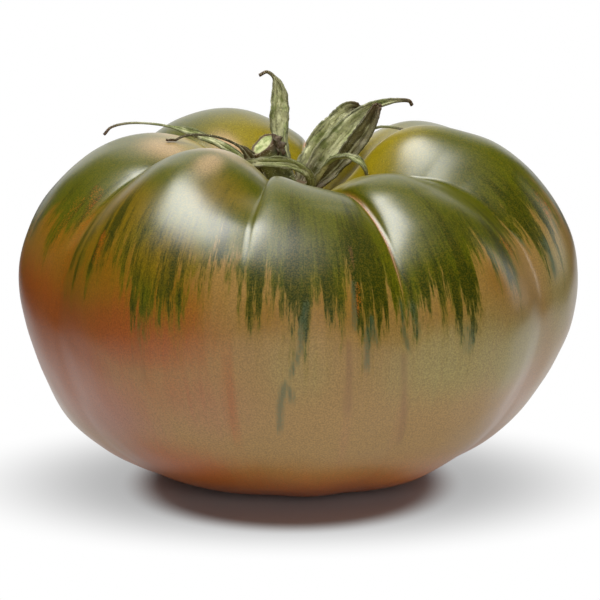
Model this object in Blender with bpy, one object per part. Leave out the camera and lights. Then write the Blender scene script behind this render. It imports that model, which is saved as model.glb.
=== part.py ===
"""A ribbed beefsteak tomato with its dried calyx and the cut stub of its stalk.

The fruit is one solid: an upright profile turned round the stem axis and gathered into unequal lobes.
Azimuths are in degrees round the stem axis, 0 towards the front (-Y) and positive to the right (+X).
Lengths are in metres, +Z is up, and the fruit stands on Z = 0 with its box centred on the origin.
"""
import math
from dataclasses import dataclass

import bmesh
import bpy
import numpy as np
from mathutils import Matrix, Vector
from mathutils.bvhtree import BVHTree

MM = 0.001

# Half section of the fruit between grooves, as (radius, height) in mm from the pit's floor to the base.
PROFILE = [(0.0, 45.0), (4.0, 45.3), (9.0, 48.7), (14.0, 53.2), (19.5, 56.1), (25.5, 56.9),
           (32.0, 54.9), (38.5, 50.0), (43.2, 43.6), (45.6, 35.5), (45.0, 27.0), (41.5, 18.6),
           (36.0, 10.6), (28.0, 4.6), (19.5, 1.2), (12.0, 0.0), (6.0, 0.0), (0.0, 0.0)]
GROOVE_DEPTH = 3.6 * MM
COLUMNS_PER_LOBE = 9
RINGS = 50

# How strongly the grooves and the lobes' own values act along the section. A station runs from 0 at the
# pit's floor to 1 at the middle of the base; the tables hold (station, share).
GROOVE_INWARD = [(0.0, 0.0), (0.10, 0.15), (0.25, 0.55), (0.36, 1.0), (0.50, 0.62), (0.65, 0.40),
                 (0.80, 0.35), (0.92, 0.25), (1.0, 0.0)]
GROOVE_DOWN = [(0.0, 0.0), (0.08, 0.35), (0.20, 1.0), (0.30, 1.0), (0.42, 0.55), (0.55, 0.15), (0.70, 0.0)]
CREST_LIFT = [(0.0, 0.0), (0.10, 0.30), (0.25, 1.0), (0.35, 1.0), (0.55, 0.40), (0.70, 0.0)]
DRIFT_END = 0.42
SHOULDER = (0.30, 0.60)
HEEL = (0.58, 0.78, 0.77, 0.97)
LIP = (0.04, 0.16, 0.18, 0.32)

GAP = 0.3 * MM
BLADE_THICKNESS = 0.7 * MM
BLADE_ROWS = 14
SKIN_CLEARANCE = 0.9 * MM
STALK_CLEARANCE = 0.8 * MM
ROOT_END = 0.25
WELD = 0.004 * MM

# The receptacle, as (radius, height) in mm round its own axis, and the place of that axis.
HUB_AXIS = (-1.2 * MM, 0.4 * MM)
HUB_PROFILE = [(2.6, 45.8), (4.0, 46.7), (4.2, 47.4), (3.6, 48.2)]
HUB_SIDES = 24

# The stalk's centre line and radius, as (x, y, height, radius) in mm, and the way its cut end faces.
STALK = [(-2.5, 0.5, 48.5, 2.2), (-2.9, 0.5, 49.6, 2.15), (-3.4, 0.5, 51.0, 2.25), (-4.1, 0.4, 52.6, 2.4),
         (-5.0, 0.2, 54.2, 2.5), (-5.8, 0.0, 55.3, 2.3)]
CUT_FACING = (-0.62, -0.33, 0.71)
STALK_SIDES = 18


@dataclass(frozen=True)
class Lobe:
    """One lobe of the fruit and the groove on its left side."""
    groove: float          # azimuth of the left groove at the fruit's widest place, degrees
    drift: float           # how far that groove has turned where it enters the pit, degrees
    depth: float           # share of the full groove depth
    crispness: float       # 0 for a soft dip, 1 for a sharp crease
    rise: float            # the crest's height over the shared profile, mm
    crest: float           # where the crest stands across the lobe, 0 left to 1 right
    heel: float            # extra radius low on the side, mm
    lip: float             # extra height where the lobe turns down into the pit, mm


LOBES = [Lobe(-118.0, 0.0, 1.12, 0.6, -0.2, 0.50, 3.4, 0.8),
         Lobe(-61.0, 0.0, 1.00, 0.7, 1.2, 0.42, 0.8, -0.2),
         Lobe(-11.5, 0.0, 0.76, 0.2, -3.3, 0.30, 0.0, -0.8),
         Lobe(22.5, -11.0, 0.85, 0.9, -2.9, 0.30, 0.0, -0.2),
         Lobe(62.0, -16.0, 1.05, 0.3, 1.3, 0.46, -0.8, 2.4),
         Lobe(106.0, -6.0, 0.80, 0.7, -0.5, 0.50, -0.8, 0.0),
         Lobe(150.0, 0.0, 0.65, 0.8, -2.9, 0.50, 0.0, 0.0),
         Lobe(177.0, 0.0, 0.95, 0.9, 0.5, 0.50, 0.0, 0.0)]


@dataclass(frozen=True)
class Sepal:
    """One dried sepal: the way its upper face looks, its fold along the rib, and its route.

    The route holds (x, y, height, width) in mm, from the receptacle to the tip.
    """
    facing: tuple
    fold: float
    route: list


SEPALS = [
    # upright at the back, its tip curled to the left
    Sepal((0.1, -1.0, 0.1), 0.18,
          [(-1.4, 3.2, 46.9, 2.0), (-2.1, 4.6, 50.6, 2.1), (-3.0, 6.0, 54.6, 2.3), (-3.2, 7.2, 58.4, 3.1),
           (-3.1, 8.0, 61.6, 2.4), (-3.6, 8.0, 64.6, 1.4), (-5.0, 7.6, 66.0, 1.0), (-6.4, 7.2, 65.4, 0.9)]),
    # thin one arching to the left from a broad base
    Sepal((-0.2, -0.6, 1.0), 0.12,
          [(-4.6, 0.0, 46.8, 1.8), (-6.9, -0.2, 50.2, 2.4), (-8.0, -0.4, 53.0, 1.9), (-9.8, -1.0, 55.2, 1.0),
           (-13.4, -1.6, 56.8, 0.9), (-17.8, -2.6, 57.2, 0.9), (-20.4, -3.8, 56.2, 0.9), (-21.2, -4.4, 54.9, 0.9)]),
    # front left, crossing in front of the stalk
    Sepal((0.0, -0.9, 0.7), 0.15,
          [(0.8, -1.2, 47.2, 1.4), (2.0, -3.2, 49.2, 1.4), (1.2, -4.8, 51.4, 1.6), (-1.6, -5.9, 53.0, 1.9),
           (-5.8, -7.4, 53.4, 1.8), (-9.4, -9.4, 53.6, 1.4), (-11.7, -11.2, 54.3, 0.9)]),
    # front right, curled over and down into the pit
    Sepal((0.3, -0.5, 1.0), 0.14,
          [(1.6, -0.6, 47.2, 1.6), (3.4, -2.6, 50.0, 1.7), (5.0, -4.6, 53.0, 1.6), (7.6, -6.6, 54.4, 1.5),
           (9.9, -7.6, 53.6, 1.3), (11.0, -7.8, 51.6, 1.0), (10.4, -8.0, 50.6, 0.9)]),
    # right, dark and standing steeply
    Sepal((-0.1, -1.0, 0.2), 0.16,
          [(1.4, 0.2, 47.2, 1.8), (4.2, 0.6, 49.4, 2.0), (6.6, 1.6, 51.6, 2.4), (9.2, 2.8, 54.4, 2.7),
           (11.4, 4.0, 57.4, 2.3), (12.8, 4.6, 60.2, 1.5), (13.1, 4.8, 61.2, 1.0)]),
    # broad one behind it, with a narrow tip drawn out to the right
    Sepal((-0.3, -1.0, 0.2), 0.14,
          [(1.2, 1.4, 47.4, 2.4), (3.4, 3.6, 50.6, 3.4), (6.2, 5.2, 54.2, 3.6), (9.4, 6.8, 57.6, 3.0),
           (12.2, 7.8, 60.0, 1.8), (15.1, 8.4, 60.9, 1.1), (18.0, 8.6, 61.0, 0.9), (18.8, 8.6, 60.2, 0.9)]),
    # broad one at the back right
    Sepal((-0.3, -1.0, 0.2), 0.16,
          [(0.4, 2.4, 47.4, 2.4), (1.6, 4.6, 50.8, 2.9), (3.6, 6.6, 54.2, 3.2), (6.2, 8.6, 57.2, 2.8),
           (8.6, 10.2, 59.2, 2.0), (10.2, 11.6, 59.0, 1.0)]),
    # thin one low to the right
    Sepal((-0.2, -0.4, 1.0), 0.10,
          [(1.8, 1.0, 47.4, 1.6), (5.6, 2.8, 51.2, 1.4), (9.6, 3.8, 55.2, 1.2), (12.8, 4.2, 57.2, 1.0),
           (16.2, 4.0, 57.2, 0.9), (20.2, 3.2, 56.2, 1.1)]),
    # long one to the left at the back: a green blade that dries to a thread
    Sepal((0.0, -0.5, 1.0), 0.16,
          [(-3.6, 2.8, 46.9, 1.8), (-6.6, 4.0, 50.2, 2.0), (-9.4, 4.2, 52.8, 2.2), (-13.2, 4.8, 54.6, 2.0),
           (-16.8, 5.0, 56.0, 1.4), (-21.6, 6.0, 57.2, 0.9), (-26.8, 6.6, 57.6, 0.9), (-30.4, 5.4, 57.2, 0.9),
           (-31.8, 4.6, 56.0, 0.9)]),
]

COLOURS = {"fruit": (0.20, 0.16, 0.03, 1.0), "calyx": (0.16, 0.18, 0.07, 1.0), "stem": (0.07, 0.08, 0.03, 1.0)}
ROUGHNESS = {"fruit": 0.28, "calyx": 0.8, "stem": 0.75}


def clear_scene():
    """Remove every object of the open scene."""
    for scene_object in list(bpy.data.objects):
        bpy.data.objects.remove(scene_object, do_unlink=True)


def smooth(value):
    """A soft step from 0 to 1."""
    value = np.clip(value, 0.0, 1.0)
    return value * value * (3.0 - 2.0 * value)


def swell(stations, station):
    """A soft swelling: it grows between the first two stations and fades between the last two."""
    start, full, fading, end = stations
    return smooth((station - start) / (full - start)) * smooth((end - station) / (end - fading))


def along(table, station):
    """Read a (station, value) table at a station, in straight runs."""
    stations, values = zip(*table)
    return np.interp(station, stations, values)


def curve_point(points, place, before=None, after=None):
    """A point of the smooth curve through the points, for a place from 0 to 1.

    before and after steer the curve's ends; without them it leaves straight.
    """
    points = [np.array(point, float) for point in points]
    before = 2.0 * points[0] - points[1] if before is None else np.array(before, float)
    after = 2.0 * points[-1] - points[-2] if after is None else np.array(after, float)
    points = [before] + points + [after]
    run = min(max(place, 0.0), 1.0) * (len(points) - 3)
    first = min(int(run), len(points) - 4)
    a, b, c, d = points[first:first + 4]
    part = run - first
    return 0.5 * (2.0 * b + (c - a) * part + (2.0 * a - 5.0 * b + 4.0 * c - d) * part ** 2
                  + (3.0 * b - a - 3.0 * c + d) * part ** 3)


def mirrored(point):
    """The section's point on the other side of the stem axis."""
    return -point[0], point[1]


def groove_azimuth(index, station):
    """Azimuth of a groove at a station: it drifts aside as it runs up into the pit."""
    lobe = LOBES[index % len(LOBES)]
    turn = 360.0 * (index // len(LOBES))
    return lobe.groove + turn + lobe.drift * (1.0 - smooth(station / DRIFT_END))


def crest_value(name, azimuth):
    """A lobe's own value, blended softly from each crest to the next."""
    middles = [0.5 * (groove_azimuth(i, 1.0) + groove_azimuth(i + 1, 1.0)) for i in range(len(LOBES))]
    azimuth = (azimuth - middles[0]) % 360.0 + middles[0]
    index = max(i for i, middle in enumerate(middles) if middle <= azimuth)
    ahead = middles[index + 1] if index + 1 < len(LOBES) else middles[0] + 360.0
    share = smooth((azimuth - middles[index]) / (ahead - middles[index]))
    here, there = getattr(LOBES[index], name), getattr(LOBES[(index + 1) % len(LOBES)], name)
    return here + (there - here) * share


def skin_point(index, across, station):
    """A point of the fruit's skin.

    index is the lobe, across runs from its left groove (0) to its right one (1), and station runs
    from the pit's floor (0) to the middle of the base (1).
    """
    left, right = LOBES[index], LOBES[(index + 1) % len(LOBES)]
    start, end = groove_azimuth(index, station), groove_azimuth(index + 1, station)
    azimuth = start + (end - start) * across
    low = smooth((station - SHOULDER[0]) / (SHOULDER[1] - SHOULDER[0]))
    if left.crest <= 0.5:
        skewed = across ** (math.log(0.5) / math.log(left.crest))
    else:
        skewed = 1.0 - (1.0 - across) ** (math.log(0.5) / math.log(1.0 - left.crest))
    place = skewed * (1.0 - low) + across * low
    share = smooth(across)
    crispness = left.crispness + (right.crispness - left.crispness) * share
    power = (1.25 - 0.7 * crispness) * (1.0 - low) + 1.5 * low
    depth = left.depth + (right.depth - left.depth) * share
    valley = (1.0 - max(math.sin(math.pi * place), 0.0) ** power) * depth * GROOVE_DEPTH
    radius, height = curve_point(PROFILE, station, mirrored(PROFILE[1]), mirrored(PROFILE[-2])) * MM
    radius += crest_value("heel", azimuth) * swell(HEEL, station) * MM - along(GROOVE_INWARD, station) * valley
    height += crest_value("rise", azimuth) * along(CREST_LIFT, station) * MM - along(GROOVE_DOWN, station) * valley
    height += crest_value("lip", azimuth) * swell(LIP, station) * MM
    turn = math.radians(azimuth)
    return Vector((radius * math.sin(turn), -radius * math.cos(turn), max(height, 0.0)))


def finish(mesh_object, name):
    """Name an object, give it its own material and shade it smooth."""
    mesh_object.name = name
    mesh_object.data.name = name
    material = bpy.data.materials.new(name)
    material.use_nodes = True
    shader = material.node_tree.nodes["Principled BSDF"]
    shader.inputs["Base Color"].default_value = COLOURS[name]
    shader.inputs["Roughness"].default_value = ROUGHNESS[name]
    shader.inputs["Metallic"].default_value = 0.0
    mesh_object.data.materials.clear()
    mesh_object.data.materials.append(material)
    mesh_object.data.shade_smooth()
    mesh_object.data.set_sharp_from_angle(angle=math.radians(50.0))
    return mesh_object


def object_from(bm, name, collection=None):
    """Turn a bmesh into an object with outward faces, in a collection or in the scene."""
    bmesh.ops.recalc_face_normals(bm, faces=bm.faces[:])
    mesh = bpy.data.meshes.new(name)
    bm.to_mesh(mesh)
    bm.free()
    mesh_object = bpy.data.objects.new(name, mesh)
    (collection or bpy.context.scene.collection).objects.link(mesh_object)
    return mesh_object


def build_fruit():
    """The fruit: a sphere of rings and columns laid onto the lobed skin, centred on its own box."""
    bm = bmesh.new()
    columns = COLUMNS_PER_LOBE * len(LOBES)
    bmesh.ops.create_uvsphere(bm, u_segments=columns, v_segments=RINGS, radius=1.0)
    for vertex in bm.verts:
        turn = math.atan2(vertex.co.x, -vertex.co.y) % (2.0 * math.pi)
        column = round(turn / (2.0 * math.pi) * columns) % columns
        station = round(math.acos(min(max(vertex.co.z, -1.0), 1.0)) / math.pi * RINGS) / RINGS
        index, step = divmod(column, COLUMNS_PER_LOBE)
        vertex.co = skin_point(index, step / COLUMNS_PER_LOBE, station)
    corners = [[function(vertex.co[axis] for vertex in bm.verts) for axis in range(2)] for function in (min, max)]
    centre = Vector([(corners[0][axis] + corners[1][axis]) / 2.0 for axis in range(2)] + [0.0])
    bmesh.ops.translate(bm, verts=bm.verts[:], vec=-centre)
    bmesh.ops.triangulate(bm, faces=[face for face in bm.faces if len(face.verts) > 3])
    return finish(object_from(bm, "fruit"), "fruit"), centre


def skin_tree(fruit):
    """A search tree of the fruit's skin."""
    bm = bmesh.new()
    bm.from_mesh(fruit.data)
    tree = BVHTree.FromBMesh(bm)
    bm.free()
    return tree


def clear_of_skin(point, tree):
    """The point, raised where it would come too near the skin below it."""
    hit = tree.ray_cast(Vector((point.x, point.y, 0.1)), Vector((0.0, 0.0, -1.0)))[0]
    if hit is None:
        return point
    return Vector((point.x, point.y, max(point.z, hit.z + SKIN_CLEARANCE)))


def clear_of_stalk(point, centre):
    """The point, pushed aside where it would come too near the stalk."""
    heights = [row[2] * MM for row in STALK]
    if not heights[0] - GAP <= point.z <= heights[-1] + STALK_CLEARANCE:
        return point
    x, y, radius = (np.interp(point.z, heights, [row[column] * MM for row in STALK]) for column in (0, 1, 3))
    aside = Vector((point.x - x + centre.x, point.y - y + centre.y, 0.0))
    short = radius + STALK_CLEARANCE - aside.length
    return point + aside.normalized() * short if short > 0.0 else point


def build_blade(sepal, centre, tree, collection):
    """One sepal: a grid bent along its route, folded at the rib and given its thickness."""
    bm = bmesh.new()
    bmesh.ops.create_grid(bm, x_segments=2, y_segments=BLADE_ROWS, size=1.0)
    facing = Vector(sepal.facing).normalized()
    for vertex in bm.verts:
        side, place = vertex.co.x, (vertex.co.y + 1.0) / 2.0
        x, y, z, width = curve_point(sepal.route, place) * MM
        ahead = curve_point(sepal.route, min(place + 0.02, 1.0))[:3]
        behind = curve_point(sepal.route, max(place - 0.02, 0.0))[:3]
        tangent = Vector(ahead - behind).normalized()
        across = tangent.cross(facing).normalized()
        face_normal = across.cross(tangent)
        spot = Vector((x, y, z)) + across * side * width / 2.0 + face_normal * abs(side) * sepal.fold * width
        spot -= centre
        vertex.co = clear_of_stalk(clear_of_skin(spot, tree) if place > ROOT_END else spot, centre)
    bmesh.ops.triangulate(bm, faces=bm.faces[:])
    blade = object_from(bm, "blade", collection)
    wall = blade.modifiers.new("thickness", "SOLIDIFY")
    wall.thickness = BLADE_THICKNESS
    wall.offset = 0.0
    return blade


def build_hub(centre):
    """The receptacle: a squat turned disc in the pit."""
    bm = bmesh.new()
    points = [(0.0, HUB_PROFILE[0][1])] + HUB_PROFILE + [(0.0, HUB_PROFILE[-1][1])]
    chain = [bm.verts.new((radius * MM, 0.0, height * MM)) for radius, height in points]
    edges = [bm.edges.new(pair) for pair in zip(chain, chain[1:])]
    bmesh.ops.spin(bm, geom=chain + edges, cent=(0.0, 0.0, 0.0), axis=(0.0, 0.0, 1.0), dvec=(0.0, 0.0, 0.0),
                   angle=2.0 * math.pi, steps=HUB_SIDES, use_merge=True, use_duplicate=False)
    bmesh.ops.remove_doubles(bm, verts=bm.verts[:], dist=0.01 * MM)
    bmesh.ops.translate(bm, verts=bm.verts[:], vec=Vector((HUB_AXIS[0], HUB_AXIS[1], 0.0)) - centre)
    return object_from(bm, "calyx")


def build_calyx(centre, tree):
    """The calyx: the receptacle with its nine sepals, joined into one body."""
    hub = build_hub(centre)
    blades = bpy.data.collections.new("blades")
    bpy.context.scene.collection.children.link(blades)
    for sepal in SEPALS:
        build_blade(sepal, centre, tree, blades)
    union = hub.modifiers.new("union", "BOOLEAN")
    union.operation = "UNION"
    union.operand_type = "COLLECTION"
    union.collection = blades
    union.solver = "EXACT"
    union.use_self = True
    graph = bpy.context.evaluated_depsgraph_get()
    joined = bpy.data.meshes.new_from_object(hub.evaluated_get(graph))
    hub.modifiers.clear()
    hub.data = joined
    bm = bmesh.new()
    bm.from_mesh(joined)
    bmesh.ops.remove_doubles(bm, verts=bm.verts[:], dist=WELD)
    bm.to_mesh(joined)
    bm.free()
    for blade in list(blades.objects):
        bpy.data.objects.remove(blade, do_unlink=True)
    bpy.data.collections.remove(blades)
    return finish(hub, "calyx")


def build_stem(centre):
    """The stalk's stub: a disc extruded ring by ring along its lean, ending in the slanted cut."""
    bm = bmesh.new()
    end = Vector(CUT_FACING).normalized()
    lower = bmesh.ops.create_circle(bm, cap_ends=True, radius=1.0, segments=STALK_SIDES)["verts"]
    rings = [lower]
    for _ in STALK[1:]:
        top = next(face for face in bm.faces if set(face.verts) == set(rings[-1]))
        made = bmesh.ops.extrude_discrete_faces(bm, faces=[top])["faces"]
        rings.append(list(made[0].verts))
    for step, (ring, (x, y, z, radius)) in enumerate(zip(rings, STALK)):
        lean = Vector((0.0, 0.0, 1.0)).lerp(end, smooth(step / (len(STALK) - 1.0)))
        turn = lean.to_track_quat("Z", "Y").to_matrix().to_4x4()
        place = Matrix.Translation(Vector((x, y, z)) * MM - centre) @ turn @ Matrix.Scale(radius * MM, 4)
        for vertex in ring:
            flat = Vector((vertex.co.x, vertex.co.y, 0.0))
            vertex.co = place @ flat
    bmesh.ops.holes_fill(bm, edges=[edge for edge in bm.edges if edge.is_boundary])
    return finish(object_from(bm, "stem"), "stem")


def main():
    """Build the three pieces."""
    clear_scene()
    fruit, centre = build_fruit()
    tree = skin_tree(fruit)
    build_calyx(centre, tree)
    build_stem(centre)


main()
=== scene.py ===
"""Looks of the ribbed tomato: its skin, dried calyx, cut stalk, and the pale studio round them.

Azimuths are in degrees round the stem axis, 0 towards the front (-Y) and positive to the right (+X).
A station runs down the fruit's side, from 0 at the pit's floor to 1 at the middle of the base.
"""
import logging
import math
from dataclasses import dataclass, field
from enum import Enum
from typing import Any, Sequence

import bmesh
import bpy
import numpy as np
from mathutils import Matrix, Vector, noise
from mathutils.bvhtree import BVHTree


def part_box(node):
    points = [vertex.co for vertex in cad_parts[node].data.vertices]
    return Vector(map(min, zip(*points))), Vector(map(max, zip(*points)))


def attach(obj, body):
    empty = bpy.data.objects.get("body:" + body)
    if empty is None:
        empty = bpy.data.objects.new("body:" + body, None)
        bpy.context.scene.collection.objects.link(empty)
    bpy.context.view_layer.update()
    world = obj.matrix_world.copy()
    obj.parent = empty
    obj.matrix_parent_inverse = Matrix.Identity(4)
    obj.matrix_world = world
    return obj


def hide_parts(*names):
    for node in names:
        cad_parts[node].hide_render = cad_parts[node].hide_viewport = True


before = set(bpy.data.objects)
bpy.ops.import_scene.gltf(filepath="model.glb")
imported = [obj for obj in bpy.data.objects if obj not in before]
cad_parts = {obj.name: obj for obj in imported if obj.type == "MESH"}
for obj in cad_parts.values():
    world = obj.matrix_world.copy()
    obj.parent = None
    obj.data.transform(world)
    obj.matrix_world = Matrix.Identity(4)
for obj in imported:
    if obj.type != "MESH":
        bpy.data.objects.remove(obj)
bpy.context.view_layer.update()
LOG = logging.getLogger("tomato")
MM = 0.001

Socket = bpy.types.NodeSocket
Material = bpy.types.Material
Object = bpy.types.Object
Colour = tuple[float, float, float, float]
Table = Sequence[tuple[float, ...]]


class Slot(Enum):
    """The record's material slots."""
    SKIN = "skin"
    DRIED_LEAF = "dried_leaf"
    STALK = "stalk"


class Node(Enum):
    """The CAD nodes that the finer pieces stand for."""
    FRUIT = "fruit"
    CALYX = "calyx"
    STEM = "stem"


def colour(red: float, green: float, blue: float) -> Colour:
    """A linear colour from the red, green and blue that a screen shows, each 0 to 255."""
    shares = [value / 255.0 for value in (red, green, blue)]
    linear = [share / 12.92 if share <= 0.04045 else ((share + 0.055) / 1.055) ** 2.4 for share in shares]
    return linear[0], linear[1], linear[2], 1.0


def smooth(value: Any) -> Any:
    """A soft step from 0 to 1."""
    value = np.clip(value, 0.0, 1.0)
    return value * value * (3.0 - 2.0 * value)


def ramp(limits: Sequence[float], value: Any) -> Any:
    """A soft step that rises between two limits."""
    low, high = limits
    return smooth((value - low) / (high - low))


def swell(stations: Sequence[float], station: Any) -> Any:
    """A soft swelling that grows between the first two stations and fades between the last two."""
    start, full, fading, end = stations
    return smooth((station - start) / (full - start)) * smooth((end - station) / (end - fading))


def along(table: Table, place: Any) -> Any:
    """Read a (place, value) table at a place, in straight runs."""
    places, values = zip(*table)
    return np.interp(place, places, values)


def curve_points(points: Table, places: Any, before: Any = None, after: Any = None) -> np.ndarray:
    """Points of the smooth curve through some points.

    Args:
        points: the points that the curve passes.
        places: where to read it, from 0 at the first point to 1 at the last.
        before: a point that steers its start; without it the curve starts straight.
        after: a point that steers its end.

    Returns:
        One row for each place.
    """
    rows = np.array(points, float)
    before = 2.0 * rows[0] - rows[1] if before is None else np.array(before, float)
    after = 2.0 * rows[-1] - rows[-2] if after is None else np.array(after, float)
    rows = np.vstack([before, rows, after])
    run = np.clip(places, 0.0, 1.0) * (len(rows) - 3)
    first = np.minimum(np.floor(run).astype(int), len(rows) - 4)
    part = (run - first)[..., None]
    a, b, c, d = rows[first], rows[first + 1], rows[first + 2], rows[first + 3]
    return 0.5 * (2.0 * b + (c - a) * part + (2.0 * a - 5.0 * b + 4.0 * c - d) * part ** 2
                  + (3.0 * b - a - 3.0 * c + d) * part ** 3)


def turn_between(first: Any, second: Any) -> Any:
    """The turn from one azimuth to another, between -180 and 180 degrees."""
    return (second - first + 180.0) % 360.0 - 180.0


class Board:
    """A node tree, with short calls that place its nodes and join them."""

    def __init__(self, tree: bpy.types.NodeTree) -> None:
        """Work on a node tree."""
        self.tree = tree

    def node(self, kind: str, **settings: Any) -> bpy.types.Node:
        """Place a node and set its properties."""
        made = self.tree.nodes.new(kind)
        for name, value in settings.items():
            setattr(made, name, value)
        return made

    def feed(self, socket: Socket, value: Any) -> None:
        """Give a socket a value, or join another node's socket to it."""
        if isinstance(value, Socket):
            self.tree.links.new(value, socket)
        else:
            socket.default_value = value

    def math(self, operation: str, first: Any, second: Any = 0.0, clamp: bool = False) -> Socket:
        """A Math node's result."""
        made = self.node("ShaderNodeMath", operation=operation, use_clamp=clamp)
        self.feed(made.inputs[0], first)
        self.feed(made.inputs[1], second)
        return made.outputs[0]

    def add(self, first: Any, second: Any) -> Socket:
        """The sum of two values."""
        return self.math("ADD", first, second)

    def times(self, first: Any, second: Any) -> Socket:
        """The product of two values."""
        return self.math("MULTIPLY", first, second)

    def unrest(self, value: Any, gain: float) -> Socket:
        """How far a noise value strays from its middle, times a gain."""
        return self.times(self.math("SUBTRACT", value, 0.5), gain)

    def step(self, value: Any, low: float, high: float, start: float = 0.0, end: float = 1.0) -> Socket:
        """A soft step of a value between two limits."""
        made = self.node("ShaderNodeMapRange", interpolation_type="SMOOTHSTEP")
        for place, entry in enumerate((value, low, high, start, end)):
            self.feed(made.inputs[place], entry)
        return made.outputs[0]

    def mix(self, share: Any, first: Any, second: Any) -> Socket:
        """Two colours mixed by a share."""
        made = self.node("ShaderNodeMix", data_type="RGBA")
        self.feed(made.inputs["Factor"], share)
        self.feed(made.inputs[6], first)
        self.feed(made.inputs[7], second)
        return made.outputs[2]

    def between(self, share: Any, first: Any, second: Any) -> Socket:
        """Two values mixed by a share."""
        made = self.node("ShaderNodeMix", data_type="FLOAT")
        self.feed(made.inputs[0], share)
        self.feed(made.inputs[2], first)
        self.feed(made.inputs[3], second)
        return made.outputs[0]

    def blend(self, share: Any, first: Any, second: Any) -> Socket:
        """Two shaders blended by a share."""
        made = self.node("ShaderNodeMixShader")
        for socket, entry in zip(made.inputs, (share, first, second)):
            self.feed(socket, entry)
        return made.outputs[0]

    def noise(self, vector: Any, scale: Any, detail: float = 2.0, roughness: float = 0.5) -> Socket:
        """A noise value from 0 to 1."""
        made = self.node("ShaderNodeTexNoise")
        self.feed(made.inputs["Vector"], vector)
        self.feed(made.inputs["Scale"], scale)
        made.inputs["Detail"].default_value = detail
        made.inputs["Roughness"].default_value = roughness
        return made.outputs[0]

    def stretch(self, vector: Any, factors: Any) -> Socket:
        """A vector scaled along each of its parts."""
        made = self.node("ShaderNodeVectorMath", operation="MULTIPLY")
        self.feed(made.inputs[0], vector)
        self.feed(made.inputs[1], factors)
        return made.outputs[0]

    def offset(self, vector: Any, centre: Any) -> Socket:
        """A vector counted from a centre."""
        made = self.node("ShaderNodeVectorMath", operation="SUBTRACT")
        self.feed(made.inputs[0], vector)
        self.feed(made.inputs[1], centre)
        return made.outputs[0]

    def length(self, vector: Any) -> Socket:
        """A vector's length."""
        made = self.node("ShaderNodeVectorMath", operation="LENGTH")
        self.feed(made.inputs[0], vector)
        return made.outputs["Value"]

    def split(self, vector: Any) -> Any:
        """The three parts of a vector."""
        parts = self.node("ShaderNodeSeparateXYZ")
        self.feed(parts.inputs[0], vector)
        return parts.outputs

    def attribute(self, name: str, output: str = "Fac") -> Socket:
        """A mesh attribute."""
        return self.node("ShaderNodeAttribute", attribute_name=name).outputs[output]

    def parts(self, name: str) -> Any:
        """The three parts of a vector attribute."""
        return self.split(self.attribute(name, "Vector"))

    def place(self) -> Socket:
        """The object's own coordinates, in metres."""
        return self.node("ShaderNodeTexCoord").outputs["Object"]

    def group(self, group: bpy.types.NodeTree, **inputs: Any) -> bpy.types.Node:
        """Place a node group and give it its values."""
        made = self.node("ShaderNodeGroup")
        made.node_tree = group
        for name, value in inputs.items():
            self.feed(made.inputs[name.replace("_", " ")], value)
        return made

    def bump(self, height: Any, strength: float, distance: float) -> Socket:
        """A normal raised by a height."""
        made = self.node("ShaderNodeBump")
        made.inputs["Strength"].default_value = strength
        made.inputs["Distance"].default_value = distance
        self.feed(made.inputs["Height"], height)
        return made.outputs[0]


class SharedEffects:
    """The node groups that more than one material uses, each built once."""

    def __init__(self) -> None:
        """Build the groups."""
        self.streaks = self._streaks()
        self.speckle = self._speckle()
        self.grain = self._grain()

    def _new(self, name: str, vector: str, values: Sequence[str],
             results: Sequence[str]) -> tuple[Board, Any, Any]:
        """Start a group.

        Args:
            name: the group's name.
            vector: the name of its vector input.
            values: the names of its value inputs.
            results: the names of its value outputs.

        Returns:
            The group's board, its input node's outputs and its output node's inputs.
        """
        tree = bpy.data.node_groups.new(name, "ShaderNodeTree")
        tree.interface.new_socket(vector, in_out="INPUT", socket_type="NodeSocketVector")
        for way, labels in (("INPUT", values), ("OUTPUT", results)):
            for label in labels:
                tree.interface.new_socket(label, in_out=way, socket_type="NodeSocketFloat")
        board = Board(tree)
        return board, board.node("NodeGroupInput").outputs, board.node("NodeGroupOutput").inputs

    def _streaks(self) -> bpy.types.NodeTree:
        """Streaks that run along a flow vector's last part."""
        board, given, result = self._new("long_streaks", "Flow", ("Across", "Along"), ("Value",))
        factors = board.node("ShaderNodeCombineXYZ")
        board.feed(factors.inputs[0], given["Across"])
        board.feed(factors.inputs[1], given["Across"])
        board.feed(factors.inputs[2], given["Along"])
        flow = board.stretch(given["Flow"], factors.outputs[0])
        board.feed(result["Value"], board.noise(flow, 1.0, 4.0, 0.62))
        return board.tree

    def _speckle(self) -> bpy.types.NodeTree:
        """Small round dots, of which a share is left out."""
        board, given, result = self._new("speckle", "Place", ("Scale", "Size", "Share"), ("Mask",))
        cells = board.node("ShaderNodeTexVoronoi")
        board.feed(cells.inputs["Vector"], given["Place"])
        board.feed(cells.inputs["Scale"], given["Scale"])
        near = board.math("SUBTRACT", given["Size"], cells.outputs["Distance"])
        dots = board.math("MULTIPLY", near, 9.0, clamp=True)
        parts = board.node("ShaderNodeSeparateColor")
        board.feed(parts.inputs[0], cells.outputs["Color"])
        kept = board.math("LESS_THAN", parts.outputs[0], given["Share"])
        board.feed(result["Mask"], board.times(dots, kept))
        return board.tree

    def _grain(self) -> bpy.types.NodeTree:
        """Fine cell-like grain and a broad drift, as two values round 0.5."""
        board, given, result = self._new("grain", "Place", ("Fine", "Broad"), ("Fine", "Broad"))
        for label, detail in (("Fine", 3.0), ("Broad", 2.0)):
            board.feed(result[label], board.noise(given["Place"], given[label], detail))
        return board.tree


def new_material(name: str) -> tuple[Material, Board, bpy.types.Node]:
    """Start a material.

    Returns:
        The material, its board and its Principled shader.
    """
    material = bpy.data.materials.new(name)
    material.use_nodes = True
    board = Board(material.node_tree)
    return material, board, material.node_tree.nodes["Principled BSDF"]


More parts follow.
